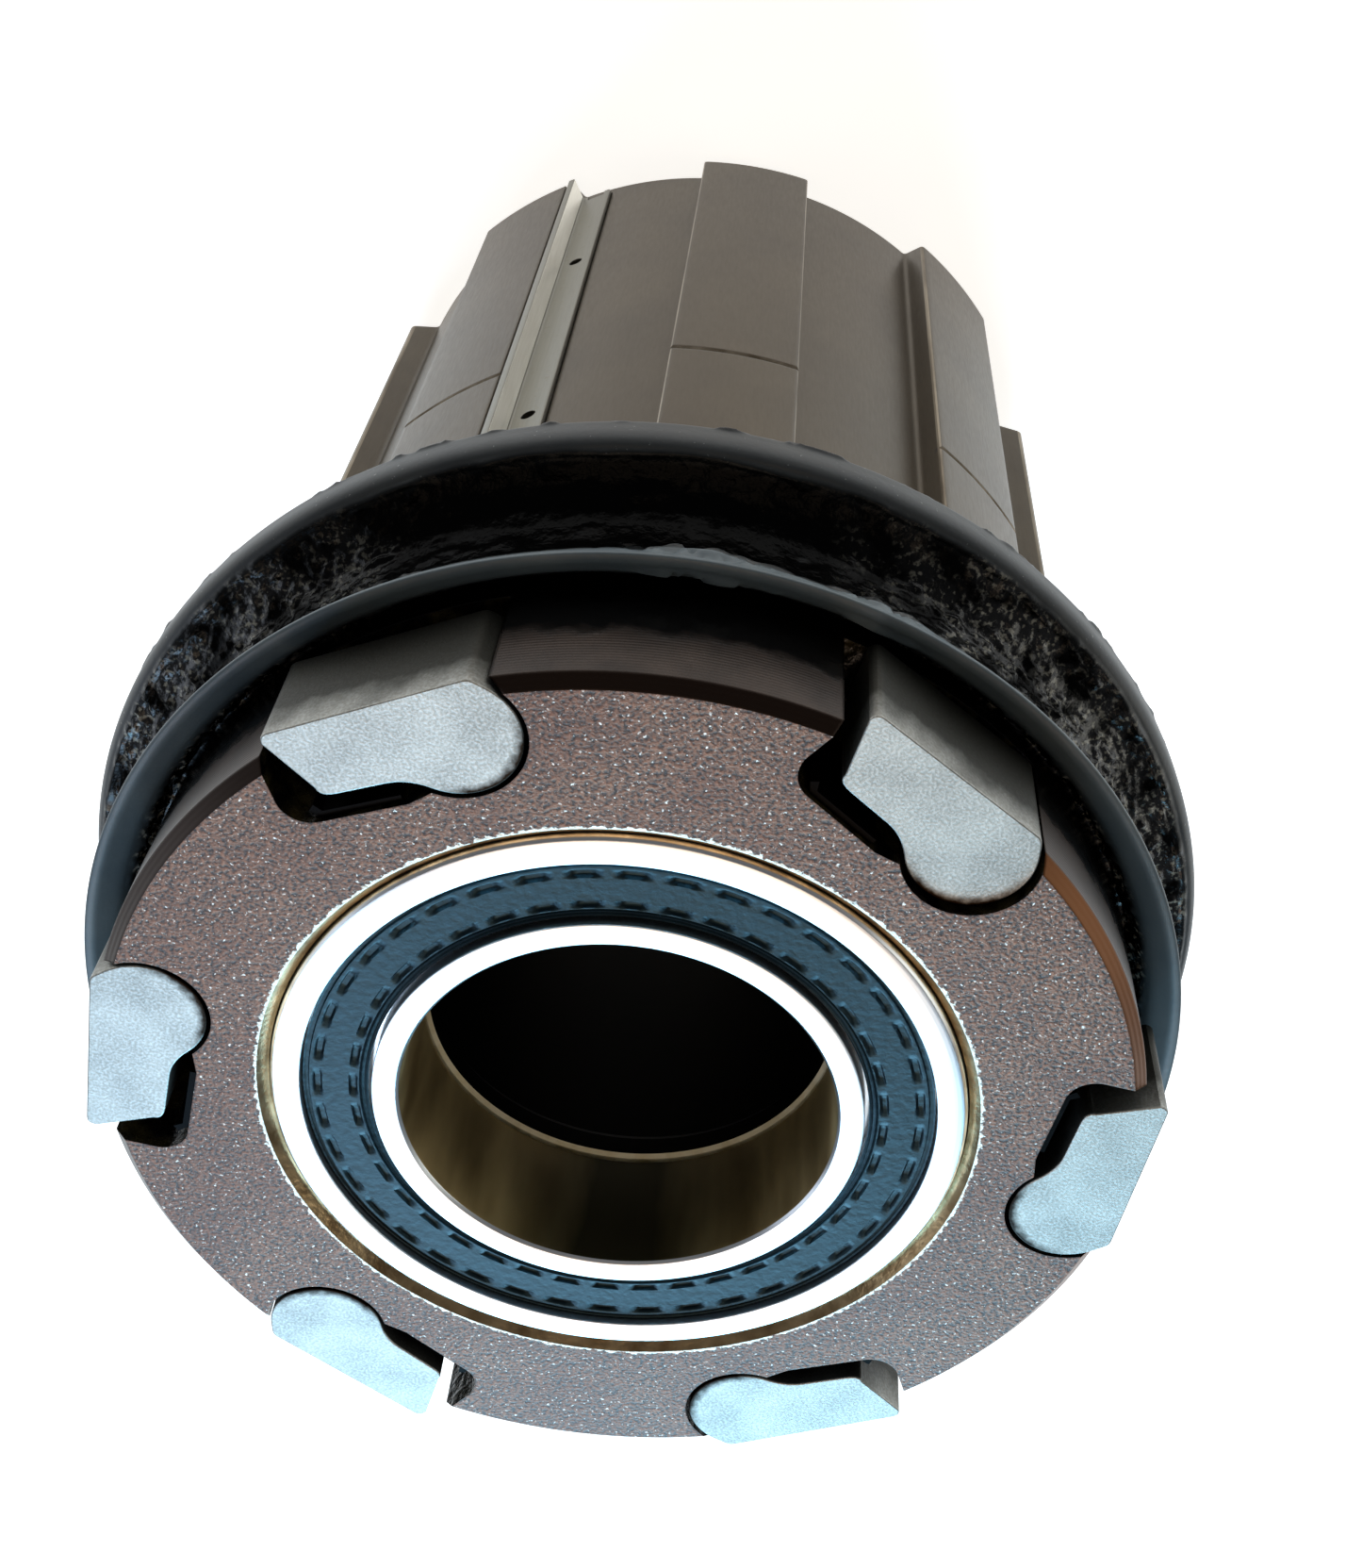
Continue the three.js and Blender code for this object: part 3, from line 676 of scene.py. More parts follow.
def moulded_shield():
    """Nitrile rubber bonded to a steel washer: a dark blue-grey moulded face, half matt, that has
    a faint cloudy bloom and is darker in its groove, pockets and fine lips."""
    material, tree, shader, place = finish(
        "nitrile_shield_moulded",
        {"Metallic": 0.0, "Specular IOR Level": 0.4, "Specular Tint": linear("#a9e0f2")},
    )
    bloom = speckle(tree, place, 1.4, 0.3, 0.7, detail=5.0)
    rubber = add(tree, "ShaderNodeMix", {0: bloom, 6: "#0b141a", 7: "#12212b"}, **COLOUR)
    hollow = add(tree, "ShaderNodeAttribute", out="Fac", attribute_name="hollow")
    shade = add(tree, "ShaderNodeMix", {0: hollow, 6: rubber, 7: "#090b0d"}, **COLOUR)
    tree.links.new(shade, shader.inputs["Base Color"])
    skin = add(tree, "ShaderNodeTexNoise", {"Vector": place, "Scale": per_mm(0.3), "Detail": 4.0})
    tree.links.new(
        add(tree, "ShaderNodeMapRange", {"Value": skin, "To Min": 0.3, "To Max": 0.5}),
        shader.inputs["Roughness"],
    )
    relief(tree, shader, skin, 0.03)
    return material


def rolled_guard():
    """Stainless steel strip, cold-rolled and folded: bright and warm white, with faint lines along it,
    and specks of grime."""
    material, tree, shader, place = finish("stainless_steel_rolled", {"Metallic": 1.0})
    stretched = add(tree, "ShaderNodeVectorMath", {0: place, 1: (1, 1, 0.04)}, operation="MULTIPLY")
    lines = add(tree, "ShaderNodeTexNoise", {"Vector": stretched, "Scale": per_mm(0.1), "Detail": 3.0})
    specks = speckle(tree, place, 0.3, 0.62, 0.75, detail=4.0)
    shade = add(tree, "ShaderNodeMix", {0: lines, 6: "#686760", 7: "#86857d"}, **COLOUR)
    shade = add(
        tree,
        "ShaderNodeMix",
        {
            0: add(tree, "ShaderNodeMapRange", {"Value": specks, "To Min": 0.0, "To Max": 0.6}),
            6: shade,
            7: "#6c6656",
        },
        **COLOUR,
    )
    tree.links.new(shade, shader.inputs["Base Color"])
    tree.links.new(
        add(tree, "ShaderNodeMapRange", {"Value": lines, "To Min": 0.3, "To Max": 0.42}),
        shader.inputs["Roughness"],
    )
    relief(tree, shader, lines, 0.006, edge=0.06)
    return material


def rubbed_guard():
    """Stainless steel strip, on the face that the sprockets press: rubbed bright and nearly white."""
    material, tree, shader, place = finish("stainless_steel_rubbed", {"Metallic": 1.0})
    stretched = add(tree, "ShaderNodeVectorMath", {0: place, 1: (1, 1, 0.06)}, operation="MULTIPLY")
    lines = add(tree, "ShaderNodeTexNoise", {"Vector": stretched, "Scale": per_mm(0.12), "Detail": 3.0})
    tree.links.new(
        add(tree, "ShaderNodeMix", {0: lines, 6: "#dedcd2", 7: "#f6f5ee"}, **COLOUR),
        shader.inputs["Base Color"],
    )
    tree.links.new(
        add(tree, "ShaderNodeMapRange", {"Value": lines, "To Min": 0.34, "To Max": 0.48}),
        shader.inputs["Roughness"],
    )
    return material


def spring_leaf():
    """Spring steel strip, rolled and tempered, lying in black grease: only worn spots show grey metal."""
    material, tree, shader, place = finish(
        "spring_steel_greased", {"Metallic": 0.0, "Specular IOR Level": 0.02}
    )
    bare = speckle(tree, place, 1.0, 0.6, 0.75, detail=3.0)
    tree.links.new(
        add(tree, "ShaderNodeMix", {0: bare, 6: "#030202", 7: "#0b0907"}, **COLOUR),
        shader.inputs["Base Color"],
    )
    tree.links.new(
        add(tree, "ShaderNodeMapRange", {"Value": bare, "To Min": 0.3, "To Max": 0.45}),
        shader.inputs["Roughness"],
    )
    return material


def phosphated_clip():
    """Spring steel, stamped and phosphated: charcoal grey, fine-grained and dull."""
    material, tree, shader, place = finish("spring_steel_phosphated", {"Metallic": 0.8})
    grain = add(tree, "ShaderNodeTexNoise", {"Vector": place, "Scale": per_mm(0.15), "Detail": 4.0})
    tree.links.new(
        add(tree, "ShaderNodeMix", {0: grain, 6: "#2b2a28", 7: "#5a5855"}, **COLOUR),
        shader.inputs["Base Color"],
    )
    tree.links.new(
        add(tree, "ShaderNodeMapRange", {"Value": grain, "To Min": 0.45, "To Max": 0.6}),
        shader.inputs["Roughness"],
    )
    relief(tree, shader, grain, 0.01, edge=0.08)
    return material


def lapped_ball():
    """Chrome steel balls, lapped, in a pressed cage: mirror bright under a film of clear grease."""
    material, tree, shader, place = finish("chrome_steel_lapped", {"Metallic": 1.0})
    film = speckle(tree, place, 0.8, 0.35, 0.65, detail=3.0)
    tree.links.new(
        add(tree, "ShaderNodeMix", {0: film, 6: "#dfe1e4", 7: "#b9b08f"}, **COLOUR),
        shader.inputs["Base Color"],
    )
    tree.links.new(
        add(tree, "ShaderNodeMapRange", {"Value": film, "To Min": 0.08, "To Max": 0.25}),
        shader.inputs["Roughness"],
    )
    return material


def black_and_shaded_sleeve():
    """6061 aluminium tube, turned and anodised black, and darkened to near-black as painted shade deep in
    the bore: very dark, with faint turned lines.
    """
    material, tree, shader, place = finish(
        "aluminium_black_anodised_painted_shade", {"Metallic": 0.0, "Specular IOR Level": 0.06}
    )
    stretched = add(tree, "ShaderNodeVectorMath", {0: place, 1: (0.1, 0.1, 1)}, operation="MULTIPLY")
    lines = add(tree, "ShaderNodeTexNoise", {"Vector": stretched, "Scale": per_mm(0.2), "Detail": 2.0})
    # Near black: black anodising, darkened further as painted shade for the deep bore.
    tree.links.new(
        add(tree, "ShaderNodeMix", {0: lines, 6: "#010101", 7: "#030303"}, **COLOUR),
        shader.inputs["Base Color"],
    )
    tree.links.new(
        add(tree, "ShaderNodeMapRange", {"Value": lines, "To Min": 0.4, "To Max": 0.55}),
        shader.inputs["Roughness"],
    )
    return material


def sleeve_edge_painted_highlight():
    """The sleeve's end rings, where the inner rings have rubbed through the black: warm, bright aluminium,
    set about as bright as a colour goes, as a painted highlight.
    """
    material, tree, shader, place = finish("aluminium_rubbed_bare_painted_highlight", {"Metallic": 0.85})
    wear = speckle(tree, place, 0.7, 0.3, 0.6, detail=3.0)
    # Painted highlight: the colour is near the brightest a colour can be.
    tree.links.new(
        add(tree, "ShaderNodeMix", {0: wear, 6: "#e9d7ac", 7: "#fff4d8"}, **COLOUR),
        shader.inputs["Base Color"],
    )
    tree.links.new(
        add(tree, "ShaderNodeMapRange", {"Value": wear, "To Min": 0.5, "To Max": 0.65}),
        shader.inputs["Roughness"],
    )
    return material


def lit_sheet():
    """Opal acrylic sheet lit from below, the ground that the part stands on: shadows on it stay light."""
    glow = {"Emission Color": linear("#fffdf8"), "Emission Strength": 0.85}
    material, tree, shader, place = finish(
        "opal_acrylic_lit", {"Roughness": 0.9, "Specular IOR Level": 0.2, **glow}
    )
    fibres = add(tree, "ShaderNodeTexNoise", {"Vector": place, "Scale": per_mm(3.0), "Detail": 4.0})
    tree.links.new(
        add(tree, "ShaderNodeMix", {0: fibres, 6: "#f4ece6", 7: "#f8f2ee"}, **COLOUR),
        shader.inputs["Base Color"],
    )
    return material


# ---- pieces ---------------------------------------------------------------------------------
def coated(piece, *materials):
    """Gives the piece these materials and no others."""
    piece.data.materials.clear()
    for material in materials:
        piece.data.materials.append(material)
    return piece


def stands_for(piece, body, slot, *nodes):
    """The piece takes the place of CAD nodes, on their body. The slot argument is not used."""
    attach(piece, body)
    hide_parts(*nodes)
    return piece


def spline_outline():
    outline = []
    pitch = 360 / SPLINE_COUNT
    for i in range(SPLINE_COUNT):
        centre = FIRST_SPLINE_DEG + pitch * i
        half = NARROW_HALF_DEG if i == NARROW_SPLINE else SPLINE_HALF_DEG
        after = NARROW_HALF_DEG if (i + 1) % SPLINE_COUNT == NARROW_SPLINE else SPLINE_HALF_DEG
        outline.append((*polar(GROOVE_RADIUS, centre - half), 0.2))
        outline.append((*polar(SPLINE_RADIUS, centre - half), 0.18))
        outline += arc(SPLINE_RADIUS, centre - half + 1.3, centre + half - 1.3, 14)
        outline.append((*polar(SPLINE_RADIUS, centre + half), 0.18))
        outline.append((*polar(GROOVE_RADIUS, centre + half), 0.2))
        outline += arc(GROOVE_RADIUS, centre + half + 1.3, centre + pitch - after - 1.3, 20)
    return eased(outline)


def thread_radius(height):
    """The lockring thread's radius round the mouth at a height: right-handed, running out at the top."""
    fade = min(1.0, max(0.0, (THREAD_END - height) / THREAD_RUNOUT))

    def radius(angle):
        turn = (height / THREAD_PITCH - angle / 360) % 1
        return MOUTH_RADIUS + THREAD_DEPTH * fade * max(0.0, 1.15 * (1 - abs(2 * turn - 1)) - 0.15)

    return radius


def bore_tool():
    rings = [(-1, MOUTH_RADIUS + 0.5), (0, MOUTH_RADIUS + 0.5)]
    steps = 50
    for i in range(steps + 1):
        height = THREAD_START + THREAD_LENGTH * i / steps
        rings.append((height, thread_radius(height)))
    groove_bottom = CIRCLIP_BOTTOM - CIRCLIP_PLAY
    groove_top = groove_bottom + CIRCLIP_GROOVE_WIDTH
    rings += [
        (MOUTH_DEPTH - 0.2, MOUTH_RADIUS),
        (MOUTH_DEPTH, MOUTH_RADIUS - 0.2),
        (MOUTH_DEPTH, SEAT_RADIUS),
        (groove_bottom, SEAT_RADIUS),
        (groove_bottom, SEAT_RADIUS + CIRCLIP_GROOVE_DEPTH),
        (groove_top, SEAT_RADIUS + CIRCLIP_GROOVE_DEPTH),
        (groove_top, SEAT_RADIUS),
        (OUTBOARD_SEAT_END, SEAT_RADIUS),
        (OUTBOARD_SEAT_END, MIDDLE_BORE_RADIUS),
        (BODY_LENGTH - BEARING_WIDTH - 0.1, MIDDLE_BORE_RADIUS),
        (BODY_LENGTH - BEARING_WIDTH - 0.1, SEAT_RADIUS),
        (BODY_LENGTH - BORE_CHAMFER, SEAT_RADIUS),
        (BODY_LENGTH, SEAT_RADIUS + BORE_CHAMFER),
        (BODY_LENGTH + 1, SEAT_RADIUS + BORE_CHAMFER),
    ]
    return stacked("bore_tool", rings, 240)


def pocket_outline():
    socket = HEEL_RADIUS + 0.15
    floor, nose, corner, mouth = -2.0, PAWL_REACH + 0.8, 1.05, 3.0
    outline = [(mouth, socket * math.sin(math.radians(-44)))]
    outline += arc(socket, -44, -218, 36)
    outline += bend(outline[-1], (-1.89, 1.82), (floor, 2.25))[1:]
    outline += arc(corner, 180, 90, 10, centre=(floor + corner, nose - corner))
    outline.append((mouth, nose))
    return outline


def guard_outline(grow=0.0, opening=0.0):
    """The folded strip's section: out from the hub's axis, then along from the spline's flank."""
    inner, outer = GROOVE_RADIUS - GUARD_THICKNESS / 2, SPLINE_RADIUS - 0.02
    foot = GROOVE_RADIUS + GUARD_THICKNESS / 2
    return eased([
        (inner - grow, GUARD_THICKNESS + grow, 0.22),
        (outer + opening, GUARD_THICKNESS + grow, 0.08),
        (outer + opening, -grow, 0.08),
        (foot + grow, -grow, 0.12),
        (foot + grow, -1.45 - grow, 0.08),
        (inner - grow, -1.45 - grow, 0.08),
    ])


FACE, COLLAR, SPLINES, SEAT, POCKET, THREAD, CORNER = range(7)


def body_finish(centre, normal):
    """Which of the body's finishes a face has, from where it lies."""
    radius = math.hypot(centre.x, centre.y) / MM
    height = centre.z / MM
    outward = (normal.x * centre.x + normal.y * centre.y) / max(radius * MM, 1e-9)
    if height > BODY_LENGTH - 0.01 and normal.z > 0.9:
        return FACE
    if radius < SEAT_RADIUS + 0.75 and outward < 0.5 and height > MOUTH_DEPTH + 0.05:
        return SEAT
    if height < MOUTH_DEPTH + 0.1 and radius < MOUTH_RADIUS + 0.6 and outward < 0.2 and normal.z > -0.9:
        return THREAD
    if height > COLLAR_BOTTOM and radius > COLLAR_RADIUS - 0.5 and (outward > 0.6 or normal.z < -0.9):
        return COLLAR
    if height > BODY_LENGTH - POCKET_DEPTH - 0.05 and radius > SEAT_RADIUS:
        return POCKET
    if FLANGE_TOP - 0.05 < height < COLLAR_BOTTOM + 0.05:
        return POCKET
    if radius > SPLINE_RADIUS - 0.25 and 0.15 < outward < 0.97:
        return CORNER
    return SPLINES


def make_freehub_body():
    body = prism("freehub_body_detail", spline_outline(), 0, SPLINE_LENGTH)
    core = stacked("core", [
        (SPLINE_LENGTH - 1, GROOVE_RADIUS - 1),
        (SPLINE_LENGTH, GROOVE_RADIUS - 1),
        (SPLINE_LENGTH, FLANGE_RADIUS - 0.12),
        (SPLINE_LENGTH + 0.12, FLANGE_RADIUS),
        (FLANGE_TOP, FLANGE_RADIUS),
        (FLANGE_TOP, SEAL_GROOVE_RADIUS),
        (COLLAR_BOTTOM, SEAL_GROOVE_RADIUS),
        (COLLAR_BOTTOM, COLLAR_RADIUS),
        (BODY_LENGTH - COLLAR_CHAMFER, COLLAR_RADIUS),
        (BODY_LENGTH, COLLAR_RADIUS - COLLAR_CHAMFER),
    ], 360)
    worked(body, core, "UNION")
    lead = [(GROOVE_RADIUS - 0.9, -0.5), (SPLINE_RADIUS + 1.2, -0.5), (SPLINE_RADIUS + 1.2, 2.9)]
    worked(body, turned("lead_tool", lead, 360))
    deep, clear = SPLINE_RADIUS - 0.12, SPLINE_RADIUS + 0.3
    witness = [(deep, WITNESS_HEIGHT), (clear, WITNESS_HEIGHT - 0.52), (clear, WITNESS_HEIGHT + 0.52)]
    worked(body, turned("witness_tool", witness, 360))
    worked(body, bore_tool())
    top = BODY_LENGTH + 1
    for i in range(PAWL_COUNT):
        turn = FIRST_PAWL_DEG - 360 / PAWL_COUNT * i
        worked(
            body,
            prism("pocket_tool", pocket_outline(), BODY_LENGTH - POCKET_DEPTH, top, turn, PIVOT_RADIUS),
        )
    slot = prism("guard_tool", guard_outline(0.05, 1.0), 0.95, SPLINE_LENGTH, GUARD_DEG)
    worked(body, slot)
    makers = {
        FACE: blasted_anodised,
        COLLAR: turned_anodised,
        SPLINES: milled_anodised,
        SEAT: seat_bare,
        POCKET: greased_pocket,
        THREAD: lockring_thread,
        CORNER: corner_painted_highlight,
    }
    coated(body, *[maker() for maker in makers.values()])
    for face in body.data.polygons:
        face.material_index = body_finish(face.center, face.normal)
    return stands_for(body, "shell", "body_anodised", "freehub_body")


def spaced(profile, step):
    """The closed profile again, with points at most step apart."""
    made = []
    for i, start in enumerate(profile):
        here, there = Vector(start), Vector(profile[(i + 1) % len(profile)])
        count = max(1, math.ceil((there - here).length / step))
        made += [tuple(here.lerp(there, k / count)) for k in range(count)]
    return made


def moulded(name, profile, segments, surface, attribute):
    """Turns a profile round Z while surface(angle, radius, height) gives how far each point is raised
    along the profile's own outward normal, and the value that the attribute keeps there."""
    count = len(profile)
    normals = []
    for k in range(count):
        along = Vector(profile[(k + 1) % count]) - Vector(profile[k - 1])
        normals.append(Vector((along.y, -along.x)).normalized())
    vertices, values = [], []
    for i in range(segments):
        angle = 360 * i / segments
        for (radius, height), normal in zip(profile, normals):
            raised, value = surface(angle, radius, height)
            vertices.append((*polar(radius + normal.x * raised, angle), height + normal.y * raised))
            values.append(value)
    faces = []
    for i in range(segments):
        here, there = i * count, (i + 1) % segments * count
        for k in range(count):
            after = (k + 1) % count
            faces.append((here + k, there + k, there + after, here + after))
    piece = raise_piece(name, vertices, faces, 50)
    kept = piece.data.attributes.new(attribute, "FLOAT", "POINT")
    kept.data.foreach_set("value", values)
    return piece


def rise(value, start, end):
    """0 before start and 1 after end, with a smooth rise between."""
    t = min(1.0, max(0.0, (value - start) / (end - start)))
    return t * t * (3 - 2 * t)


def lump(angle, radius, height, size, seed):
    """Smooth noise from -1 to 1 at a place on the part, with lumps about size millimetres across."""
    x, y = polar(radius, angle)
    return noise.noise(Vector((x / size + seed, y / size - seed, height / size)))


def grease_on_seal(angle, radius, height):
    """How thick the old grease lies on the lip seal, in millimetres, and how much it hides the rubber."""
    broad = lump(angle, radius, height, 2.4, 3.1)
    middle = lump(angle, radius, height, 0.8, 7.7)
    fine = lump(angle, radius, height, 0.28, 1.9)
    shore = 0.22 * broad + 0.12 * middle
    valley = rise(height, 39.72, 39.95) * (1 - rise(height + shore, 43.9, 44.35))
    valley *= 1 - rise(radius + 0.3 * shore, 20.4, 20.62)
    front = (1 - rise(height + shore, 43.75, 44.0)) * rise(height, 43.0, 43.3)
    front *= 1 - rise(radius - (height - 43.6) * 0.55, 18.8, 19.05)
    back = rise(radius, 20.3, 20.6) * (1 - rise(height, 38.45, 38.7))
    cover = max(valley, front)
    hidden = cover * rise(1.0 + 0.8 * broad + 0.35 * middle, 0.25, 0.5)
    rough = rise(abs(angle - WIPED_DEG), 14.0, 40.0)
    clots = max(0.0, 0.1 * middle + 0.26 * fine * rough)
    thick = hidden * (0.05 + 0.1 * max(0.0, broad) + clots)
    edge = back * rise(0.6 * middle + 0.3 * fine + 0.7 * broad, 0.05, 0.45)
    smear_round = sum(share * math.exp(-(((angle - at) / wide) ** 2)) for at, wide, share in SMEARS)
    smear = smear_round * rise(height, 42.8, 43.3) * (1 - rise(height, 44.6, 44.95)) * rise(
        radius, 18.5, 18.8
    )
    thick += min(1.0, smear) * (0.22 + 0.12 * middle) * rise(0.6 + middle + fine, 0.2, 0.7)
    return thick + 0.11 * edge, max(hidden, edge) * (1 - 0.8 * min(1.0, smear))


def make_lip_seal():
    profile = eased([
        (16.45, 38.25),
        (20.5, 38.3, 0.2),
        (20.88, 38.45, 0.2),
        (20.92, 39.5, 0.4),
        (20.65, 39.9, 0.25),
        (20.2, 39.9, 0.15),
        (19.4, 40.15, 0.7),
        (18.5, 40.9, 0.8),
        (18.3, 42.0, 0.7),
        (18.4, 42.9, 0.5),
        (18.95, 43.75, 0.5),
        (19.5, 44.7, 0.3),
        (19.66, 45.12, 0.25),
        (19.3, 45.12, 0.2),
        (18.62, 44.5, 0.25),
        (18.36, 44.0, 0.2),
        (18.15, 43.4, 0.2),
        (18.0, 43.2),
        (16.45, 43.2),
    ], 8)
    seal = moulded("lip_seal_detail", spaced(profile, 0.12), 720, grease_on_seal, "grease")
    coated(seal, moulded_seal())
    return stands_for(seal, "shell", "lip_rubber", "lip_seal")


def pawl_outline():
    tip = PAWL_REACH + 0.36
    outline = [(1.9, -1.1, 0.2), (1.52, PAWL_REACH)]
    outline += bend((1.52, PAWL_REACH), (1.52, tip), (1.16, tip))[1:]
    outline += bend((-0.76, 4.85), (-1.12, 4.85), (-1.12, 4.25))
    waist = polar(HEEL_RADIUS, 143)
    outline += bend((-1.12, 2.6), (-1.12, 1.93), waist)
    outline += arc(HEEL_RADIUS, 143, 312, 44)[1:]
    return eased(outline)


def make_pawls():
    steel = ground_pawl()
    for i in range(PAWL_COUNT):
        name = f"pawl_{i + 1}"
        low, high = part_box(name)
        width = (high.z - low.z) / MM
        pawl = prism(f"{name}_detail", pawl_outline(), -width, 0)
        edges_broken(pawl, 0.05)
        coated(pawl, steel)
        turn = math.radians(FIRST_PAWL_DEG - 360 / PAWL_COUNT * i)
        pivot = Vector((PIVOT_RADIUS * math.cos(turn) * MM, PIVOT_RADIUS * math.sin(turn) * MM, high.z))
        pawl.matrix_world = Matrix.Translation(pivot) @ Matrix.Rotation(turn, 4, "Z")
        stands_for(pawl, name, "pawl_steel", name)


def ring_section(outside, inside, land, shoulder_side):
    """A race ring's section between its two cylinders. The race and the seal seats face shoulder_side."""
    half = BEARING_WIDTH / 2
    pitch = (SEAT_RADIUS + BEARING_BORE) / 2
    shoulder = pitch + shoulder_side * RACE_OFFSET
    race = math.degrees(math.acos(RACE_OFFSET / RACE_RADIUS))
    if shoulder_side > 0:
        curve = arc(RACE_RADIUS, race, -race, 12, centre=(pitch, half))
        return eased([
            (outside, 0, 0.28),
            (outside, BEARING_WIDTH, 0.28),
            (land, BEARING_WIDTH, 0.06),
            (land, BEARING_WIDTH - SEAL_SEAT),
            (shoulder, BEARING_WIDTH - SEAL_SEAT),
            *curve,
            (shoulder, SEAL_SEAT),
            (land, SEAL_SEAT),
            (land, 0, 0.06),
        ])
    curve = arc(RACE_RADIUS, 180 + race, 180 - race, 12, centre=(pitch, half))
    return eased([
        (inside, 0, 0.3),
        (land, 0, 0.06),
        (land, SEAL_SEAT),
        (shoulder, SEAL_SEAT),
        *curve,
        (shoulder, BEARING_WIDTH - SEAL_SEAT),
        (land, BEARING_WIDTH - SEAL_SEAT),
        (land, BEARING_WIDTH, 0.06),
        (inside, BEARING_WIDTH, 0.3),
    ])


def lifted(profile, height):
    return [(radius, z + height) for radius, z in profile]


def shield_surface(angle, radius, height, face):
    """The moulded face of a bearing seal: an oil groove, two rows of small pockets and two fine lips."""
    if abs(height - face) > 0.01:
        return 0.0, 0.0
    share = angle % 9 / 9
    pocket = 1.0 if 0.22 < share < 0.72 else 0.0
    rows = 0.0
    for inside, outside in POCKET_ROWS:
        across = rise(radius, inside, inside + POCKET_WALL) * (
            1 - rise(radius, outside - POCKET_WALL, outside)
        )
        rows = max(rows, pocket * across)
    groove = rise(radius, 10.62, 10.68)
    lips = 0.5 + 0.5 * math.cos((radius - 8.62) / 0.13 * 2 * math.pi) if radius < 8.88 else 0.0
    depth = max(rows * 0.13, groove * 0.1, lips * 0.06)
    return -depth, max(0.85 * rows, groove, 0.7 * lips)


def make_bearing(prefix, facing):
    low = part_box(f"{prefix}_outer_ring")[0].z / MM
    steel, stained, shield = ground_ring(), stained_and_shaded_bore(), moulded_shield()
    section = lifted(ring_section(RING_OUTSIDE, 0, OUTER_LAND, 1), low)
    outer = turned(f"{prefix}_outer_ring_detail", section, 240)
    coated(outer, steel)
    stands_for(outer, "shell", "ring_steel", f"{prefix}_outer_ring")
    section = lifted(ring_section(0, BEARING_BORE, INNER_LAND, -1), low)
    inner = turned(f"{prefix}_inner_ring_detail", section, 240)
    coated(inner, steel, stained)
    for face in inner.data.polygons:
        radius = math.hypot(face.center.x, face.center.y) / MM
        if radius < BEARING_BORE + 0.08:
            face.material_index = 1
    stands_for(inner, "axle_sleeve", "ring_steel", f"{prefix}_inner_ring")
    bottom, top = (value.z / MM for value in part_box(f"{prefix}_seal_outer"))
    face = top if facing > 0 else bottom
    section = [(8.6, bottom), (10.85, bottom), (10.85, top), (8.6, top)]
    fine = spaced(section, 0.045 if facing else 0.2)
    seal = moulded(
        f"{prefix}_seal_outer_detail",
        fine,
        360,
        lambda angle, radius, height: shield_surface(angle, radius, height, face),
        "hollow",
    )
    coated(seal, shield)
    stands_for(seal, "shell", "ring_seal", f"{prefix}_seal_outer")
    coated(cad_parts[f"{prefix}_seal_inner"], shield)


def make_sleeve():
    low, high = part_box("spacer_sleeve")
    bottom, top = low.z / MM, high.z / MM
    outside = high.x / MM
    inside, lip = outside - 0.75, BEARING_BORE - 0.1
    profile = [
        (inside, bottom + 1.2),
        (lip, bottom + 0.9),
        (lip, bottom + 0.14),
        (lip + 0.14, bottom),
        (outside, bottom),
        (outside, top),
        (lip + 0.14, top),
        (lip, top - 0.14),
        (lip, top - 0.9),
        (inside, top - 1.2),
    ]
    sleeve = turned("spacer_sleeve_detail", profile, 180)
    coated(sleeve, black_and_shaded_sleeve(), sleeve_edge_painted_highlight())
    for face in sleeve.data.polygons:
        if abs(face.center.z / MM - (bottom + top) / 2) > (top - bottom) / 2 - 0.1:
            face.material_index = 1
    stands_for(sleeve, "axle_sleeve", "sleeve_alloy", "spacer_sleeve")


def make_circlip():
    low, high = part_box("circlip")
    bottom, top = low.z / MM, high.z / MM
    outside, gap = 12.55, 16
    inside = outside - 1.5
    band = arc(outside, gap, 360 - gap, 160) + arc(inside, 360 - gap, gap, 150)
    clip = prism("circlip_detail", band, bottom, top)
    for side in (-1, 1):
        x, y = polar(inside + 0.15, side * (gap + 3))
        worked(clip, prism("lug", arc(1.15, 0, 350, 35, centre=(x, y)), bottom, top), "UNION")
        worked(clip, prism("eye", arc(0.5, 0, 345, 23, centre=(x - 0.2, y)), bottom - 1, top + 1))
    coated(clip, phosphated_clip())
    stands_for(clip, "shell", "clip_steel", "circlip")


def make_guard():
    bottom, top = 1.0, SPLINE_LENGTH - 0.05
    guard = prism("bite_guard_detail", guard_outline(), bottom, top)
    for height in GUARD_HOLES:
        hole = stacked("hole_tool", [(-1, 0.32), (1, 0.32)], 32)
        place = Matrix.Translation(Vector((GROOVE_RADIUS, GUARD_HOLE_OFFSET, height)) * MM)
        hole.data.transform(place @ Matrix.Rotation(math.pi / 2, 4, "Y"))
        worked(guard, hole)
    near, far, left, right = GROOVE_RADIUS - 1, GROOVE_RADIUS + 1, -1.17, -0.27
    corners = [(near, left), (far, left), (far, right), (near, right)]
    worked(guard, prism("notch_tool", corners, 0, bottom + 0.5))
    guard.data.transform(Matrix.Rotation(math.radians(GUARD_DEG), 4, "Z"))
    coated(guard, rolled_guard(), rubbed_guard())
    across = Vector(polar(1.0, GUARD_DEG + 90)).to_3d()
    for face in guard.data.polygons:
        beyond_groove = math.hypot(face.center.x, face.center.y) / MM > GROOVE_RADIUS + GUARD_THICKNESS
        if beyond_groove and abs(face.normal.dot(across)) > 0.9:
            face.material_index = 1
    stands_for(guard, "shell", "guard_steel", "bite_guard")


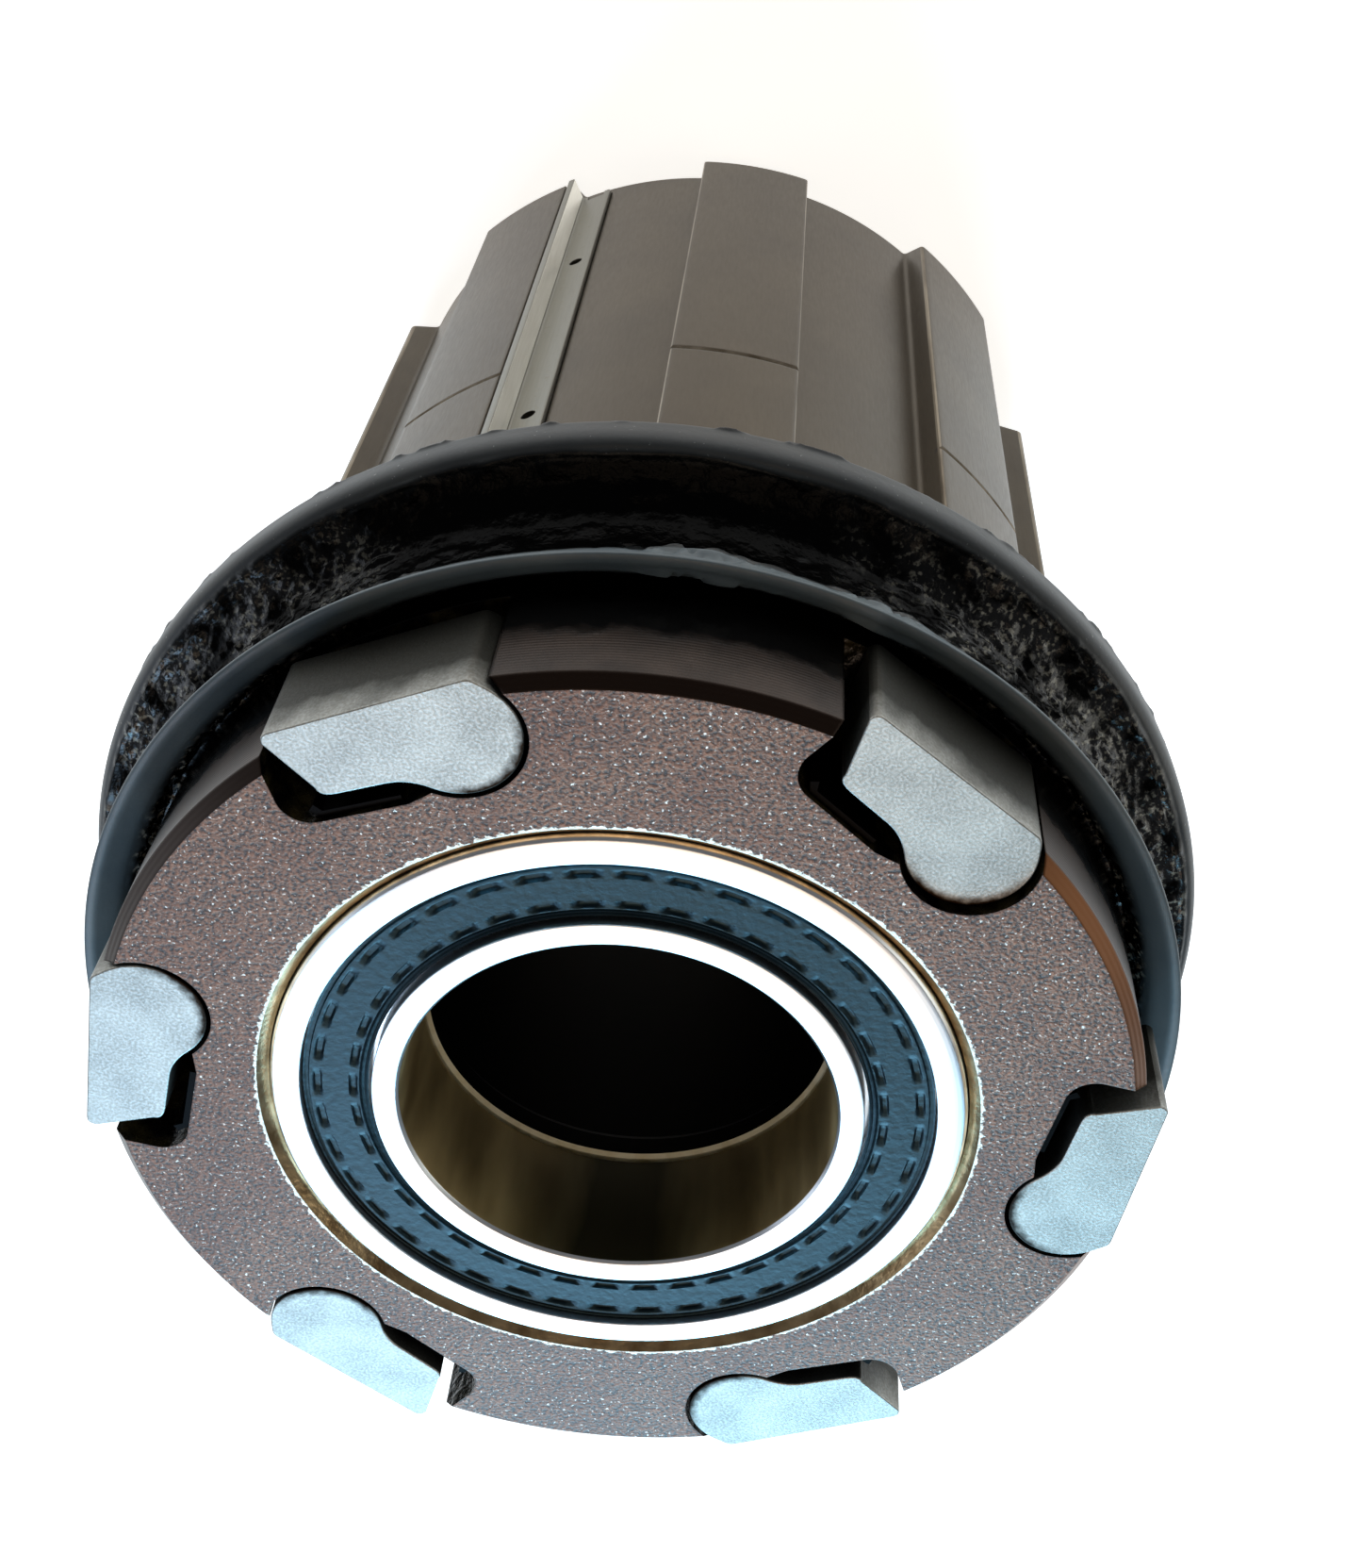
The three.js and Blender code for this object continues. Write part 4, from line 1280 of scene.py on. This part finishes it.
def finish_plain_nodes():
    """The springs and the balls are right as they are: they only take their finish."""
    leaf, ball = spring_leaf(), lapped_ball()
    for name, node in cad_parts.items():
        for part, material in (("pawl_spring", leaf), ("ball_cage", ball)):
            if part in name:
                coated(node, material)


# ---- ground, light and camera ---------------------------------------------------------------
def lay_ground():
    made = bmesh.new()
    bmesh.ops.create_grid(made, x_segments=2, y_segments=2, size=3.0)
    mesh = bpy.data.meshes.new("ground")
    made.to_mesh(mesh)
    made.free()
    ground = bpy.data.objects.new("ground", mesh)
    ground.location.z = -0.00002
    bpy.context.scene.collection.objects.link(ground)
    mesh.materials.append(lit_sheet())


def toward(azimuth, elevation):
    """The direction to a place seen from the part: azimuth 0 is the -Y side, and 90 is +X."""
    a, e = math.radians(azimuth), math.radians(elevation)
    return Vector((math.sin(a) * math.cos(e), -math.cos(a) * math.cos(e), math.sin(e)))


LAMP_DISTANCE = 0.6  # in metres


def lamp(name, azimuth, elevation, size, watts, shade):
    """A square soft light, aimed at the middle of the part."""
    light = bpy.data.lights.new(name, "AREA")
    light.shape = "SQUARE"
    light.size = size
    light.energy = watts
    light.color = linear(shade)[:3]
    holder = bpy.data.objects.new(name, light)
    back = toward(azimuth, elevation)
    holder.location = Vector((0, 0, 0.03)) + back * LAMP_DISTANCE
    holder.rotation_euler = (-back).to_track_quat("-Z", "Y").to_euler()
    bpy.context.scene.collection.objects.link(holder)


def set_lights():
    world = bpy.data.worlds.new("soft_room")
    bpy.context.scene.world = world
    world.use_nodes = True
    background = next(n for n in world.node_tree.nodes if n.type == "BACKGROUND")
    background.inputs["Color"].default_value = linear("#f6f8ff")
    background.inputs["Strength"].default_value = 0.14
    lamp("window_light", 181, 21, 0.4, 4.0, "#9cdcff")
    lamp("sky_light", 150, 40, 0.3, 1.3, "#b6dcff")
    lamp("ceiling_light", 172, 62, 0.3, 0.8, "#ffdcbc")
    lamp("top_light", 10, 80, 0.3, 0.25, "#ffe2c0")
    lamp("left_light", 96, 16, 0.3, 0.4, "#e6f0ff")
    lamp("right_light", 264, 16, 0.3, 0.5, "#f4f2e8")
    bpy.context.scene.view_settings.view_transform = "Standard"
    bpy.context.scene.view_settings.look = "None"


def set_camera():
    """A close view down onto the pawl face, with the part upside down and a little to one side."""
    aim = Vector((-2.66, 0.206, 20.277)) * MM
    back = toward(-4.422, 57.1)
    camera = bpy.data.cameras.new("camera")
    camera.sensor_width = 36
    camera.lens = 45.147
    camera.shift_x = -0.0346
    camera.shift_y = -0.0791
    camera.clip_start = 0.005
    holder = bpy.data.objects.new("camera", camera)
    holder.rotation_mode = "QUATERNION"
    holder.location = aim + back * 91.683 * MM
    level = (-back).to_track_quat("-Z", "Y")
    holder.rotation_quaternion = level @ Quaternion((0, 0, 1), math.radians(-175.023))
    bpy.context.scene.collection.objects.link(holder)
    bpy.context.scene.camera = holder


set_camera()
make_freehub_body()
make_lip_seal()
make_pawls()
make_bearing("inboard", 1)
make_bearing("outboard", -1)
make_sleeve()
make_circlip()
make_guard()
finish_plain_nodes()
lay_ground()
set_lights()
